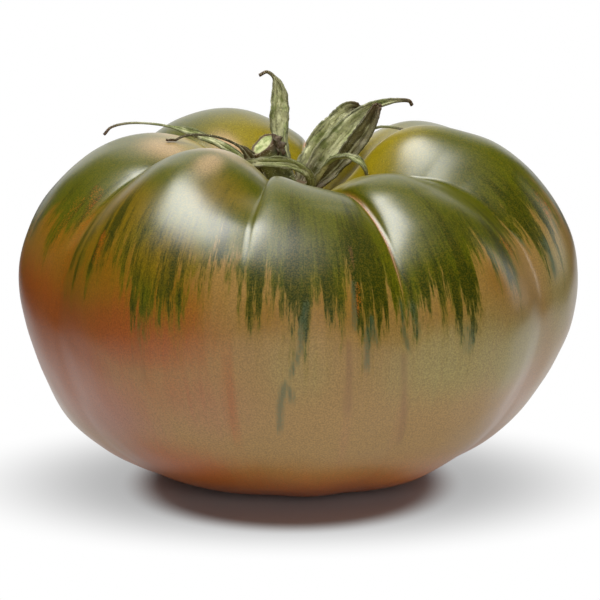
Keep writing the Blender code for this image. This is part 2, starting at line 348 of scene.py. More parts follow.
@dataclass(frozen=True)
class SkinFinish:
    """Glossy fruit skin: a dripping green shoulder over rust, amber, tan and pink.

    Streaks holds the counts across and along of the wide, the thin and the gritty streaks, and drips says
    how far each of them frays the green's lower edge, in stations. Grain is its fine and its broad scale.
    """
    tan: Colour = colour(140, 108, 56)
    rust: Colour = colour(142, 72, 16)
    amber: Colour = colour(126, 84, 8)
    pink: Colour = colour(144, 92, 66)
    sage: Colour = colour(136, 122, 68)
    base_brown: Colour = colour(172, 92, 40)
    olive: Colour = colour(72, 78, 4)
    ripe_olive: Colour = colour(112, 90, 5)
    deep_green: Colour = colour(36, 46, 6)
    wash: Colour = colour(122, 94, 16)
    peach_and_rim_sheen: Colour = colour(190, 156, 116)
    teal: Colour = colour(58, 76, 50)
    vein_brown: Colour = colour(108, 72, 44)
    flame_orange: Colour = colour(152, 80, 14)
    pit_yellow: Colour = colour(150, 130, 6)
    pale_dot: Colour = colour(178, 170, 70)
    cork: Colour = colour(196, 150, 118)
    scar: Colour = colour(110, 78, 50)
    streaks: Table = ((15.0, 7.0), (60.0, 16.0), (140.0, 62.0))
    drips: tuple[float, float, float] = (0.17, 0.12, 0.13)
    grain: tuple[float, float] = (4000.0, 70.0)
    brightness: tuple[float, float] = (0.76, 1.24)
    roughness: float = 0.285
    matte_gain: float = 0.08

    def material(self, shared: SharedEffects) -> Material:
        """Build the skin's material."""
        material, board, shader = new_material("tomato_skin")
        place = board.place()
        flow = board.attribute("flow", "Vector")
        wide, thin, grit = (board.group(shared.streaks, Flow=flow, Across=across, Along=down).outputs[0]
                            for across, down in self.streaks)
        small, wide_grain = self.grain
        fine, broad = board.group(shared.grain, Place=place, Fine=small, Broad=wide_grain).outputs
        painted = self._ground(board, thin, fine, broad)
        painted = self._shoulder(board, painted, (wide, thin, grit), fine, broad)
        painted = self._lines(board, painted, thin, fine)
        painted = self._pit(board, painted, shared, place)
        painted = self._marks(board, painted, shared, place)
        tone = board.node("ShaderNodeHueSaturation")
        board.feed(tone.inputs["Value"], board.step(fine, 0.25, 0.75, *self.brightness))
        board.feed(tone.inputs["Color"], painted)
        board.feed(shader.inputs["Base Color"], tone.outputs[0])
        rough = board.step(fine, 0.2, 0.8, self.roughness, self.roughness + 0.02)
        matte = board.times(board.attribute("matte"), self.matte_gain)
        board.feed(shader.inputs["Roughness"], board.add(rough, matte))
        relief = board.add(board.times(fine, 0.4), board.times(broad, 0.8))
        board.feed(shader.inputs["Normal"], board.bump(relief, 0.12, 0.10 * MM))
        shader.inputs["Specular IOR Level"].default_value = 0.5
        return material

    def _ground(self, board: Board, thin: Any, fine: Any, broad: Any) -> Socket:
        """The ripe colours under the green, by the warm and cool attributes."""
        rust, amber, pink = board.parts("warm")
        sage, _, base = board.parts("cool")
        unrest = board.add(board.times(thin, 0.5), board.times(broad, 0.3))
        unrest = board.add(unrest, board.times(fine, 0.35))
        unrest = board.times(board.math("SUBTRACT", unrest, 0.575), 0.8)
        painted: Any = self.tan
        coats = ((sage, self.sage), (pink, self.pink), (base, self.base_brown), (rust, self.rust),
                 (amber, self.amber))
        for share, tint in coats:
            stirred = board.add(share, board.times(unrest, board.step(share, 0.02, 0.4)))
            painted = board.mix(board.step(stirred, 0.0, 1.0), painted, tint)
        return painted

    def _shoulder(self, board: Board, ground: Any, streaks: Any, fine: Any, broad: Any) -> Socket:
        """The green shoulder with dripping edges, and its dark flames."""
        _, ripe, _ = board.parts("cool")
        _, thin, grit = streaks
        edge = board.attribute("edge")
        for streak, drip in zip(streaks, self.drips):
            edge = board.add(edge, board.unrest(streak, drip))
        ripeness = board.add(ripe, board.unrest(broad, 0.9))
        olive = board.mix(board.step(ripeness, 0.15, 0.9), self.olive, self.ripe_olive)
        wash = board.times(board.step(edge, -0.085, 0.0, 0.0, 0.45), board.step(broad, 0.35, 0.6, 0.4, 1.0))
        painted = board.mix(wash, ground, self.wash)
        painted = board.mix(board.step(edge, -0.028, 0.026), painted, olive)
        depth = board.add(board.attribute("dark"), board.unrest(thin, 1.4))
        depth = board.add(depth, board.unrest(grit, 0.9))
        depth = board.times(board.step(depth, 0.10, 0.75), board.step(edge, -0.014, 0.022))
        painted = board.mix(board.times(depth, 0.92), painted, self.deep_green)
        shade = board.times(board.step(thin, 0.44, 0.72, 0.0, 0.30), board.step(edge, 0.0, 0.05))
        painted = board.mix(shade, painted, self.deep_green)
        mottle = board.times(board.step(fine, 0.40, 0.62, 0.0, 0.28), board.step(edge, -0.01, 0.02))
        return board.mix(mottle, painted, self.ripe_olive)

    def _lines(self, board: Board, painted: Any, thin: Any, fine: Any) -> Socket:
        """The thin teal, brown and orange lines that run down from the shoulder."""
        worn = board.add(board.unrest(fine, 1.6), board.unrest(thin, 1.6))
        teal, brown, orange = board.parts("lines")
        marks = ((orange, self.flame_orange, 0.7), (brown, self.vein_brown, 0.38), (teal, self.teal, 0.65))
        for share, tint, full in marks:
            broken = board.times(board.add(share, worn), board.step(share, 0.0, 0.15))
            painted = board.mix(board.step(broken, 0.15, 0.75, 0.0, full), painted, tint)
        return painted

    def _pit(self, board: Board, painted: Any, shared: SharedEffects, place: Any) -> Socket:
        """Yellow-green with fine pale dots, in the pit and just round it."""
        pit, dotted, _ = board.parts("hollow")
        painted = board.mix(board.times(pit, 0.75), painted, self.pit_yellow)
        dots = board.group(shared.speckle, Place=place, Scale=2900.0, Size=0.26, Share=0.45).outputs[0]
        return board.mix(board.times(dots, board.times(dotted, 0.5)), painted, self.pale_dot)

    def _marks(self, board: Board, painted: Any, shared: SharedEffects, place: Any) -> Socket:
        """The corky creases, the peach on the upper rims with its painted sheen, the blossom scar and a few
        brown flecks.
        """
        flecks = board.group(shared.speckle, Place=place, Scale=420.0, Size=0.07, Share=0.08).outputs[0]
        painted = board.mix(board.times(flecks, 0.3), painted, self.scar)
        gap, strength, peach_and_rim_sheen = board.parts("crease")
        # Pale peach on the left lobes' upper rims: partly their warm tone, partly a painted pale sheen of
        # the rims.
        painted = board.mix(peach_and_rim_sheen, painted, self.peach_and_rim_sheen)
        rust_band = board.times(board.step(gap, 0.05, 0.40, 0.45, 0.0), strength)
        painted = board.mix(rust_band, painted, self.flame_orange)
        cork = board.times(board.step(gap, 0.0, 0.13, 0.55, 0.0), strength)
        painted = board.mix(cork, painted, self.cork)
        return board.mix(board.parts("hollow")[2], painted, self.scar)


@dataclass(frozen=True)
class LeafFinish:
    """Dried sepal: grey-green, with painted shade along its wrinkles, brown at the tip."""
    name: str = "dried_sepal"
    pale: Colour = colour(188, 188, 142)
    green: Colour = colour(134, 142, 84)
    shadow: Colour = colour(54, 52, 30)
    tip: Colour = colour(78, 58, 38)
    roughness: float = 0.72

    def material(self, shared: SharedEffects) -> Material:
        """Build the dried leaf's material."""
        material, board, shader = new_material(self.name)
        place = board.place()
        blade = board.attribute("blade", "Vector")
        side, _, length = board.split(blade)
        wrinkles_and_shade = board.group(shared.streaks, Flow=blade, Across=3.2, Along=7.0).outputs[0]
        fine, broad = board.group(shared.grain, Place=place, Fine=2600.0, Broad=420.0).outputs
        light = board.add(broad, board.unrest(board.attribute("tone"), 0.3))
        painted = board.mix(board.step(light, 0.42, 0.62), self.green, self.pale)
        painted = board.mix(board.step(board.attribute("tone"), 0.1, 0.5, 0.85, 0.0), painted, self.tip)
        # Painted shade: the shadow colour laid along the wrinkle streaks, which the bump below also raises.
        painted = board.mix(board.step(wrinkles_and_shade, 0.50, 0.66, 0.0, 0.55), painted, self.shadow)
        spots = board.group(shared.speckle, Place=place, Scale=1700.0, Size=0.30, Share=0.35).outputs[0]
        painted = board.mix(board.times(spots, 0.5), painted, self.shadow)
        hem = board.math("ABSOLUTE", side)
        painted = board.mix(board.step(hem, 0.0, 0.14, 0.45, 0.0), painted, self.pale)
        painted = board.mix(board.step(hem, 0.78, 1.0, 0.0, 0.5), painted, self.shadow)
        painted = board.mix(board.step(fine, 0.52, 0.66, 0.0, 0.35), painted, self.shadow)
        fuzz = board.group(shared.speckle, Place=place, Scale=4200.0, Size=0.34, Share=0.5).outputs[0]
        painted = board.mix(board.times(fuzz, 0.28), painted, self.pale)
        painted = board.mix(board.step(length, 0.04, 0.24, 0.75, 0.0), painted, self.tip)
        painted = board.mix(board.step(length, 0.64, 0.95), painted, self.tip)
        board.feed(shader.inputs["Base Color"], painted)
        shader.inputs["Roughness"].default_value = self.roughness
        shader.inputs["Specular IOR Level"].default_value = 0.3
        relief = board.add(board.times(wrinkles_and_shade, 1.0), board.times(fine, 0.5))
        board.feed(shader.inputs["Normal"], board.bump(relief, 0.6, 0.25 * MM))
        return material


@dataclass(frozen=True)
class BarkFinish:
    """The stalk's dark, fuzzy green skin, browner towards the cut."""
    dark: Colour = colour(62, 64, 34)
    light: Colour = colour(110, 114, 66)
    brown: Colour = colour(94, 70, 46)
    roughness: float = 0.75

    def material(self, shared: SharedEffects) -> Material:
        """Build the stalk's material."""
        material, board, shader = new_material("stalk_bark")
        place = board.place()
        fine, broad = board.group(shared.grain, Place=place, Fine=2800.0, Broad=520.0).outputs
        painted = board.mix(board.step(broad, 0.35, 0.65), self.dark, self.light)
        dots = board.group(shared.speckle, Place=place, Scale=2100.0, Size=0.32, Share=0.5).outputs[0]
        painted = board.mix(board.times(dots, 0.3), painted, self.light)
        painted = board.mix(board.times(board.attribute("rim"), 0.85), painted, self.brown)
        board.feed(shader.inputs["Base Color"], painted)
        shader.inputs["Roughness"].default_value = self.roughness
        relief = board.add(board.times(fine, 0.6), broad)
        board.feed(shader.inputs["Normal"], board.bump(relief, 0.6, 0.3 * MM))
        return material


@dataclass(frozen=True)
class PithFinish:
    """The cut end: pale green pith with brown dots and a dark ring."""
    pale: Colour = colour(196, 200, 142)
    green: Colour = colour(140, 156, 84)
    brown: Colour = colour(112, 84, 54)
    roughness: float = 0.6

    def material(self, shared: SharedEffects) -> Material:
        """Build the cut face's material."""
        material, board, shader = new_material("stalk_pith")
        place = board.place()
        fine, broad = board.group(shared.grain, Place=place, Fine=3200.0, Broad=900.0).outputs
        painted = board.mix(board.step(broad, 0.35, 0.6), self.green, self.pale)
        dots = board.group(shared.speckle, Place=place, Scale=1500.0, Size=0.28, Share=0.4).outputs[0]
        painted = board.mix(board.times(dots, 0.6), painted, self.green)
        painted = board.mix(board.attribute("rim"), painted, self.brown)
        board.feed(shader.inputs["Base Color"], painted)
        shader.inputs["Roughness"].default_value = self.roughness
        board.feed(shader.inputs["Normal"], board.bump(board.add(fine, broad), 0.7, 0.2 * MM))
        return material


@dataclass(frozen=True)
class HairFinish:
    """Fine pale hairs."""
    root: Colour = colour(150, 152, 104)
    bright: Colour = colour(214, 210, 170)
    roughness: float = 0.5

    def material(self) -> Material:
        """Build the hairs' material."""
        material, board, shader = new_material("pale_hairs")
        mottle = board.noise(board.place(), 700.0)
        tint = board.mix(board.step(mottle, 0.35, 0.65), self.root, self.bright)
        board.feed(shader.inputs["Base Color"], tint)
        shader.inputs["Roughness"].default_value = self.roughness
        return material


@dataclass(frozen=True)
class Lobe:
    """One lobe of the fruit and the groove on its left side, as the solid has them.

    The ease is the share of the groove's depth that fades out down the shoulder.
    """
    groove: float
    drift: float
    depth: float
    crispness: float
    rise: float
    crest: float
    heel: float
    lip: float
    ease: float = 0.0


@dataclass(frozen=True)
class Flame:
    """One dark green flame on the skin: where its tip is, how wide, how dark and how long it is."""
    azimuth: float
    tip: float
    half_width: float
    ink: float = 0.6
    length: float = 0.05


@dataclass(frozen=True)
class Line:
    """A thin line on the skin, through (azimuth, station) points from its top to its end."""
    route: Table
    half_width: float
    strength: float = 1.0


@dataclass(frozen=True)
class Patch:
    """A soft patch of one pigment."""
    azimuth: float
    station: float
    spread: float
    height: float
    strength: float


def patch_rows(*rows: Sequence[float]) -> tuple[Patch, ...]:
    """Patches from rows of azimuth, station, spread, height and strength."""
    return tuple(Patch(*row) for row in rows)


class LobedSkin:
    """The formula of the fruit's skin: an upright section gathered into lobes.

    Its values are the solid's, apart from the crests of the three front lobes and the crispness and ease of
    the groove at -11.5 degrees.
    """

    profile: Table = [(0.0, 45.0), (4.0, 45.3), (9.0, 48.7), (14.0, 53.2), (19.5, 56.1), (25.5, 56.9),
                      (32.0, 54.9), (38.5, 50.0), (43.2, 43.6), (45.6, 35.5), (45.0, 27.0), (41.5, 18.6),
                      (36.0, 10.6), (28.0, 4.6), (19.5, 1.2), (12.0, 0.0), (6.0, 0.0), (0.0, 0.0)]
    lobes: Sequence[Lobe] = [Lobe(-118.0, 0.0, 1.12, 0.6, -0.2, 0.50, 3.4, 0.8),
                             Lobe(-61.0, 0.0, 1.00, 0.7, 1.2, 0.52, 0.8, -0.2),
                             Lobe(-11.5, 0.0, 0.76, 0.5, -3.3, 0.22, 0.0, -0.8, 0.70),
                             Lobe(22.5, -11.0, 0.85, 0.9, -2.9, 0.40, 0.0, -0.2),
                             Lobe(62.0, -16.0, 1.05, 0.3, 1.3, 0.46, -0.8, 2.4),
                             Lobe(106.0, -6.0, 0.80, 0.7, -0.5, 0.50, -0.8, 0.0),
                             Lobe(150.0, 0.0, 0.65, 0.8, -2.9, 0.50, 0.0, 0.0),
                             Lobe(177.0, 0.0, 0.95, 0.9, 0.5, 0.50, 0.0, 0.0)]
    groove_depth: float = 3.6
    groove_inward: Table = [(0.0, 0.0), (0.10, 0.15), (0.25, 0.55), (0.36, 1.0), (0.50, 0.62), (0.65, 0.40),
                            (0.80, 0.35), (0.92, 0.25), (1.0, 0.0)]
    groove_down: Table = [(0.0, 0.0), (0.08, 0.35), (0.20, 1.0), (0.30, 1.0), (0.42, 0.55), (0.55, 0.15),
                          (0.70, 0.0)]
    crest_lift: Table = [(0.0, 0.0), (0.10, 0.30), (0.25, 1.0), (0.35, 1.0), (0.55, 0.40), (0.70, 0.0)]
    drift_end: float = 0.42
    shoulder: tuple[float, float] = (0.30, 0.60)
    eased: Sequence[float] = (0.33, 0.41, 0.50, 0.62)
    heel: Sequence[float] = (0.58, 0.78, 0.77, 0.97)
    lip: Sequence[float] = (0.04, 0.16, 0.18, 0.32)

    def _values(self, name: str) -> np.ndarray:
        """One value of every lobe."""
        return np.array([getattr(lobe, name) for lobe in self.lobes])

    def groove_azimuth(self, index: Any, station: Any) -> Any:
        """Azimuth of a groove at a station; it drifts aside as it runs up into the pit."""
        count = len(self.lobes)
        drift = self._values("drift")[index % count] * (1.0 - smooth(station / self.drift_end))
        return self._values("groove")[index % count] + 360.0 * (index // count) + drift

    def crest_value(self, name: str, azimuth: Any) -> Any:
        """A lobe's own value, blended softly from each crest to the next."""
        count = len(self.lobes)
        order = np.arange(count)
        middles = 0.5 * (self.groove_azimuth(order, 1.0) + self.groove_azimuth(order + 1, 1.0))
        wrapped = (azimuth - middles[0]) % 360.0 + middles[0]
        index = np.searchsorted(middles, wrapped, side="right") - 1
        ahead = np.append(middles, middles[0] + 360.0)[index + 1]
        values = np.append(self._values(name), self._values(name)[0])
        share = smooth((wrapped - middles[index]) / (ahead - middles[index]))
        return values[index] + (values[index + 1] - values[index]) * share

    def azimuth(self, index: Any, across: Any, station: Any) -> Any:
        """The azimuth of a place on a lobe."""
        start, end = self.groove_azimuth(index, station), self.groove_azimuth(index + 1, station)
        return start + (end - start) * across

    def points(self, index: np.ndarray, across: np.ndarray, station: np.ndarray) -> np.ndarray:
        """Points of the skin, in metres.

        Args:
            index: each point's lobe.
            across: its place from the lobe's left groove (0) to its right one (1).
            station: its station.

        Returns:
            One row for each point.
        """
        azimuth = self.azimuth(index, across, station)
        low = ramp(self.shoulder, station)
        crest = self._values("crest")[index]
        skewed = across ** (math.log(0.5) / np.log(crest))
        place = skewed * (1.0 - low) + across * low
        share = smooth(across)
        following = (index + 1) % len(self.lobes)
        crispness, depth, ease = (
            self._values(name)[index] + (self._values(name)[following] - self._values(name)[index]) * share
            for name in ("crispness", "depth", "ease"))
        depth = depth * (1.0 - ease * swell(self.eased, station))
        power = (1.25 - 0.7 * crispness) * (1.0 - low) + 1.5 * low
        valley = (1.0 - np.maximum(np.sin(np.pi * place), 0.0) ** power) * depth * self.groove_depth
        ends = [(-point[0], point[1]) for point in (self.profile[1], self.profile[-2])]
        section = curve_points(self.profile, station, ends[0], ends[1])
        radius = section[..., 0] + self.crest_value("heel", azimuth) * swell(self.heel, station)
        radius = radius - along(self.groove_inward, station) * valley
        height = section[..., 1] + self.crest_value("rise", azimuth) * along(self.crest_lift, station)
        height = height - along(self.groove_down, station) * valley
        height = height + self.crest_value("lip", azimuth) * swell(self.lip, station)
        turn = np.radians(azimuth)
        return np.stack([radius * np.sin(turn), -radius * np.cos(turn), np.maximum(height, 0.0)], -1) * MM


def object_from(bm: bmesh.types.BMesh, name: str, material: Material) -> Object:
    """Turn a bmesh into a smooth object with a material."""
    mesh = bpy.data.meshes.new(name)
    bm.to_mesh(mesh)
    bm.free()
    mesh.shade_smooth()
    made = bpy.data.objects.new(name, mesh)
    bpy.context.scene.collection.objects.link(made)
    mesh.materials.append(material)
    return made


def settle(piece: Object, node: Node) -> None:
    """Tie a piece to the CAD: attach it to its body, hide the node that it stands for, and report it."""
    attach(piece, "root")
    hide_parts(node.value)
    LOG.info("%s: %d faces, for %s", piece.name, len(piece.data.polygons), node.value)


def write_attribute(mesh: bpy.types.Mesh, name: str, values: np.ndarray) -> None:
    """Store one value, vector or colour for each vertex."""
    kinds = {1: ("FLOAT", "value"), 3: ("FLOAT_VECTOR", "vector"), 4: ("FLOAT_COLOR", "color")}
    kind, member = kinds[1 if values.ndim == 1 else values.shape[1]]
    made = mesh.attributes.new(name, kind, "POINT")
    made.data.foreach_set(member, np.ascontiguousarray(values, dtype=np.float32).ravel())


@dataclass
class Fruit:
    """The fruit: a fine lobed skin with its flames, patches, creases and scar.

    Reach holds (azimuth, station) points of the green's lower edge. The names that end in line hold the
    stations between which something sets in or fades. Cork_grooves holds (groove, stations, share) rows.
    """
    columns_per_lobe: int = 48
    rings: int = 200
    relief: float = 0.22 * MM
    relief_size: float = 13.0 * MM
    relief_layers: Table = ((1.0, 1.0), (2.7, 0.4))
    relief_core: float = 30.0 * MM
    still_foot: float = 6.0 * MM
    scar_depth: float = 0.6 * MM
    scar_radius: float = 3.6 * MM
    scar_top: float = 2.0 * MM
    skin: LobedSkin = field(default_factory=LobedSkin)
    reach: Table = (
        (-180.0, 0.475), (-160.0, 0.49), (-140.0, 0.46), (-118.0, 0.49), (-100.0, 0.465), (-85.0, 0.48),
        (-75.0, 0.455), (-68.0, 0.47), (-61.0, 0.43), (-56.0, 0.475), (-47.0, 0.475), (-38.0, 0.475),
        (-33.0, 0.50), (-26.0, 0.495), (-20.0, 0.465), (-12.5, 0.46), (-9.0, 0.485), (-4.4, 0.48),
        (1.5, 0.50), (6.0, 0.49), (11.0, 0.475), (15.0, 0.50), (20.0, 0.48), (24.0, 0.50), (31.0, 0.49),
        (36.0, 0.505), (39.0, 0.475), (44.8, 0.455), (49.2, 0.475), (53.0, 0.46), (57.0, 0.44),
        (67.0, 0.455), (74.0, 0.445), (90.0, 0.46), (105.0, 0.49), (120.0, 0.465), (135.0, 0.48),
        (150.0, 0.495), (165.0, 0.465), (180.0, 0.475))
    flames: Sequence[Flame] = tuple(Flame(*row) for row in (
        (-75.0, 0.472, 2.0, 0.3), (-68.5, 0.492, 1.5, 0.4), (-64.0, 0.455, 1.6, 0.5),
        (-57.5, 0.495, 1.2, 0.5), (-53.5, 0.505, 1.0, 0.5), (-48.0, 0.492, 1.4, 0.5),
        (-44.6, 0.488, 2.0, 0.9), (-40.5, 0.492, 1.3, 0.4), (-36.5, 0.485, 1.6, 0.4),
        (-34.2, 0.541, 1.2, 0.6), (-31.5, 0.525, 1.6, 0.4), (-28.1, 0.512, 1.8, 0.5),
        (-26.0, 0.520, 1.3, 0.8), (-23.5, 0.508, 1.2, 0.4), (-19.7, 0.480, 1.6, 0.4),
        (-17.0, 0.474, 1.6, 0.7), (-11.9, 0.500, 0.9, 0.5), (-9.4, 0.520, 1.2, 0.7), (-7.6, 0.512, 1.4, 0.7),
        (-5.0, 0.497, 1.2, 0.4), (-3.0, 0.505, 1.2, 0.5), (-1.0, 0.516, 1.9, 1.0, 0.08),
        (1.6, 0.530, 1.2, 0.8), (3.8, 0.506, 1.2, 0.4), (5.9, 0.524, 1.5, 0.9), (8.2, 0.500, 1.2, 0.5),
        (12.4, 0.520, 1.1, 0.9, 0.08), (14.2, 0.536, 1.4, 1.0, 0.10), (16.2, 0.524, 1.1, 1.0, 0.08),
        (18.2, 0.520, 1.0, 0.8, 0.08), (21.6, 0.512, 0.9, 0.4), (24.2, 0.530, 1.1, 0.5),
        (27.2, 0.526, 1.3, 0.7), (30.2, 0.524, 1.3, 0.6), (33.4, 0.538, 1.3, 0.9),
        (36.4, 0.546, 1.7, 1.0, 0.09), (38.4, 0.530, 0.8, 0.7), (44.8, 0.480, 1.4, 0.5),
        (49.6, 0.502, 1.3, 0.8), (51.6, 0.49, 1.0, 0.6), (54.6, 0.456, 1.2, 0.8), (60.5, 0.455, 2.0, 0.5),
        (66.8, 0.470, 1.6, 0.8), (69.0, 0.490, 1.4, 0.7), (73.0, 0.486, 1.5, 0.7), (76.0, 0.452, 1.4, 0.4),
        (83.0, 0.495, 1.5, 0.7), (88.0, 0.47, 1.4, 0.4), (93.0, 0.485, 1.7, 0.6), (99.0, 0.525, 1.2, 0.8),
        (104.0, 0.50, 1.8, 0.4), (109.0, 0.515, 1.9, 1.0), (117.0, 0.485, 1.4, 0.5), (122.0, 0.50, 1.5, 0.4),
        (126.0, 0.535, 1.2, 0.9), (133.0, 0.50, 1.8, 0.6), (141.0, 0.52, 1.3, 0.8), (147.0, 0.50, 1.5, 0.4),
        (152.0, 0.54, 1.5, 1.0), (161.0, 0.49, 1.6, 0.5), (169.0, 0.525, 1.2, 0.9), (174.0, 0.49, 1.3, 0.4),
        (179.0, 0.505, 1.8, 0.7), (-171.0, 0.54, 1.2, 0.9), (-166.0, 0.50, 1.4, 0.5),
        (-160.0, 0.52, 2.0, 1.0), (-152.0, 0.495, 1.4, 0.5), (-143.0, 0.525, 1.2, 0.8),
        (-134.0, 0.49, 1.8, 0.6), (-129.0, 0.50, 1.3, 0.4), (-124.0, 0.535, 1.3, 0.9),
        (-115.0, 0.51, 1.7, 0.7), (-105.0, 0.49, 1.3, 0.5), (-97.0, 0.52, 1.2, 0.8),
        (-88.0, 0.505, 1.8, 0.9), (-81.0, 0.482, 1.3, 0.5)))
    gloom: Sequence[Patch] = patch_rows(
        (0.0, 0.45, 7.0, 0.05, 0.55), (14.5, 0.44, 6.0, 0.08, 0.8), (34.0, 0.47, 8.0, 0.05, 0.55),
        (-33.0, 0.45, 7.0, 0.04, 0.4), (40.0, 0.42, 10.0, 0.05, 0.45), (64.0, 0.42, 9.0, 0.06, 0.45),
        (110.0, 0.45, 12.0, 0.05, 0.5), (150.0, 0.46, 12.0, 0.05, 0.5), (-160.0, 0.45, 12.0, 0.05, 0.5),
        (-120.0, 0.46, 10.0, 0.05, 0.5), (-88.0, 0.44, 8.0, 0.05, 0.4))
    teal_lines: Sequence[Line] = (
        Line(((1.8, 0.491), (0.7, 0.520), (0.3, 0.549), (-0.9, 0.571), (-1.5, 0.592)), 0.42),
        Line(((-2.4, 0.585), (-3.6, 0.614), (-3.8, 0.643), (-4.3, 0.665)), 0.65, 0.8),
        Line(((-1.5, 0.592), (-1.3, 0.624)), 0.5, 0.8),
        Line(((13.8, 0.520), (13.6, 0.554), (13.7, 0.586)), 0.5),
        Line(((14.6, 0.510), (14.9, 0.525), (15.3, 0.552)), 0.45),
        Line(((21.8, 0.49), (21.6, 0.527), (22.4, 0.546), (23.4, 0.566)), 0.45, 0.9),
        Line(((24.0, 0.494), (24.3, 0.516), (24.5, 0.550)), 0.9, 0.5),
        Line(((11.3, 0.467), (11.1, 0.491), (10.9, 0.536)), 0.40, 1.0),
        Line(((35.2, 0.53), (35.9, 0.551), (35.0, 0.575)), 0.9, 0.6),
        Line(((69.0, 0.47), (69.4, 0.50), (69.2, 0.530)), 0.9, 0.8),
        Line(((-32.0, 0.54), (-33.5, 0.582), (-34.1, 0.62)), 1.4, 0.28),
        Line(((62.0, 0.44), (64.2, 0.49)), 0.4, 0.7),
        Line(((101.0, 0.50), (100.0, 0.58)), 0.6, 0.9),
        Line(((127.0, 0.50), (126.0, 0.60)), 0.5, 0.8),
        Line(((152.0, 0.52), (153.5, 0.60)), 0.6, 0.9),
        Line(((-171.0, 0.52), (-172.0, 0.62)), 0.6, 0.9),
        Line(((-143.0, 0.50), (-142.0, 0.58)), 0.5, 0.8),
        Line(((-97.0, 0.50), (-98.0, 0.57)), 0.5, 0.8))
    brown_lines: Sequence[Line] = (
        Line(((21.6, 0.555), (22.2, 0.601), (23.7, 0.641), (25.2, 0.69)), 0.7, 0.8),
        Line(((9.9, 0.535), (9.9, 0.587), (10.4, 0.64)), 0.7, 0.8),
        Line(((11.9, 0.42), (11.3, 0.467), (11.0, 0.52)), 0.3, 0.8),
        Line(((140.0, 0.55), (141.0, 0.66)), 0.8, 0.8),
        Line(((-120.0, 0.56), (-119.0, 0.68)), 0.8, 0.8))
    orange_lines: Sequence[Line] = (
        Line(((-67.0, 0.39), (-62.8, 0.430), (-61.2, 0.464), (-60.2, 0.506), (-61.0, 0.56)), 1.5, 0.35),
        Line(((-69.4, 0.41), (-67.8, 0.50)), 1.2, 0.35),
        Line(((12.4, 0.47), (12.0, 0.52)), 0.7, 0.3),
        Line(((-47.0, 0.45), (-46.0, 0.50)), 1.0, 0.5),
        Line(((53.5, 0.44), (54.5, 0.48)), 1.4, 0.45),
        Line(((76.0, 0.42), (75.0, 0.47)), 1.4, 0.4),
        Line(((-138.0, 0.42), (-137.0, 0.52)), 1.4, 0.8),
        Line(((130.0, 0.42), (129.0, 0.50)), 1.4, 0.8))
    rust: Sequence[Patch] = patch_rows(
        (-66.0, 0.575, 30.0, 0.095, 1.1), (-37.0, 0.545, 21.0, 0.060, 1.0), (-27.0, 0.530, 9.5, 0.060, 0.9),
        (-19.5, 0.550, 7.5, 0.080, 0.35), (-44.0, 0.495, 18.0, 0.045, 0.5), (-40.0, 0.60, 26.0, 0.06, 0.5),
        (-35.0, 0.74, 24.0, 0.06, 0.9), (-68.0, 0.48, 6.0, 0.05, 0.6), (-14.2, 0.60, 1.8, 0.09, 0.5),
        (-125.0, 0.555, 20.0, 0.055, 0.9), (120.0, 0.55, 16.0, 0.045, 0.35), (170.0, 0.555, 18.0, 0.05, 0.6))
    amber: Sequence[Patch] = patch_rows(
        (-70.0, 0.44, 16.0, 0.07, 0.9), (-50.0, 0.49, 20.0, 0.05, 1.0), (-29.0, 0.51, 8.0, 0.030, 0.8),
        (47.0, 0.485, 7.0, 0.030, 0.6), (8.0, 0.50, 12.0, 0.03, 0.5), (-6.0, 0.51, 6.0, 0.025, 0.5),
        (30.0, 0.515, 8.0, 0.02, 0.4), (-120.0, 0.50, 16.0, 0.03, 0.7), (140.0, 0.51, 18.0, 0.03, 0.6))
    pink: Sequence[Patch] = patch_rows(
        (-55.0, 0.66, 24.0, 0.055, 0.9), (-85.0, 0.64, 16.0, 0.07, 0.6), (-20.0, 0.63, 12.0, 0.05, 0.4),
        (62.0, 0.67, 14.0, 0.07, 0.5), (10.3, 0.66, 1.4, 0.06, 0.25), (22.8, 0.64, 1.4, 0.06, 0.25),
        (-140.0, 0.64, 24.0, 0.06, 0.6), (110.0, 0.65, 20.0, 0.06, 0.5), (175.0, 0.64, 16.0, 0.05, 0.4))
    sage: Sequence[Patch] = patch_rows(
        (34.0, 0.570, 18.0, 0.06, 0.8), (50.0, 0.58, 14.0, 0.05, 0.9), (0.0, 0.57, 8.0, 0.05, 0.45),
        (72.0, 0.53, 8.0, 0.07, 0.8), (95.0, 0.55, 20.0, 0.07, 0.7), (-165.0, 0.56, 18.0, 0.06, 0.6))
    # Pale peach patches on the upper rims: partly warm skin, partly painted sheen of the rims.
    peach_and_rim_sheen: Sequence[Patch] = patch_rows(
        (-40.0, 0.265, 18.0, 0.030, 0.5), (-72.0, 0.270, 12.0, 0.040, 0.6), (-29.0, 0.325, 4.0, 0.03, 0.55),
        (-97.0, 0.24, 12.0, 0.04, 0.5), (-128.0, 0.185, 9.0, 0.04, 1.0))
    matte: Sequence[Patch] = patch_rows(
        (1.0, 0.44, 8.5, 0.08, 0.9), (8.0, 0.43, 8.0, 0.07, 0.5), (66.0, 0.30, 7.0, 0.05, 0.6))
    ripe: Sequence[Patch] = patch_rows(
        (-50.0, 0.44, 16.0, 0.07, 0.9), (-28.0, 0.47, 12.0, 0.04, 0.8), (-20.0, 0.36, 10.0, 0.05, 0.6),
        (-110.0, 0.42, 22.0, 0.08, 0.7), (170.0, 0.40, 20.0, 0.08, 0.5), (22.0, 0.36, 8.0, 0.05, 0.4))
    base_line: tuple[float, float] = (0.66, 0.80)
    base_share: float = 0.85
    pit_line: tuple[float, float] = (0.17, 0.30)
    dotted_line: tuple[float, float] = (0.20, 0.32)
    scar_line: tuple[float, float] = (0.95, 0.98)
    line_start: float = 0.006
    line_end: float = 0.02
    cork_grooves: Sequence[tuple[int, tuple[float, ...], float]] = (
        (3, (0.24, 0.30, 0.42, 0.52), 0.8),
        (7, (0.06, 0.12, 0.26, 0.36), 0.9),
        (2, (0.16, 0.20, 0.26, 0.32), 0.3),
        (5, (0.10, 0.18, 0.28, 0.36), 0.4))

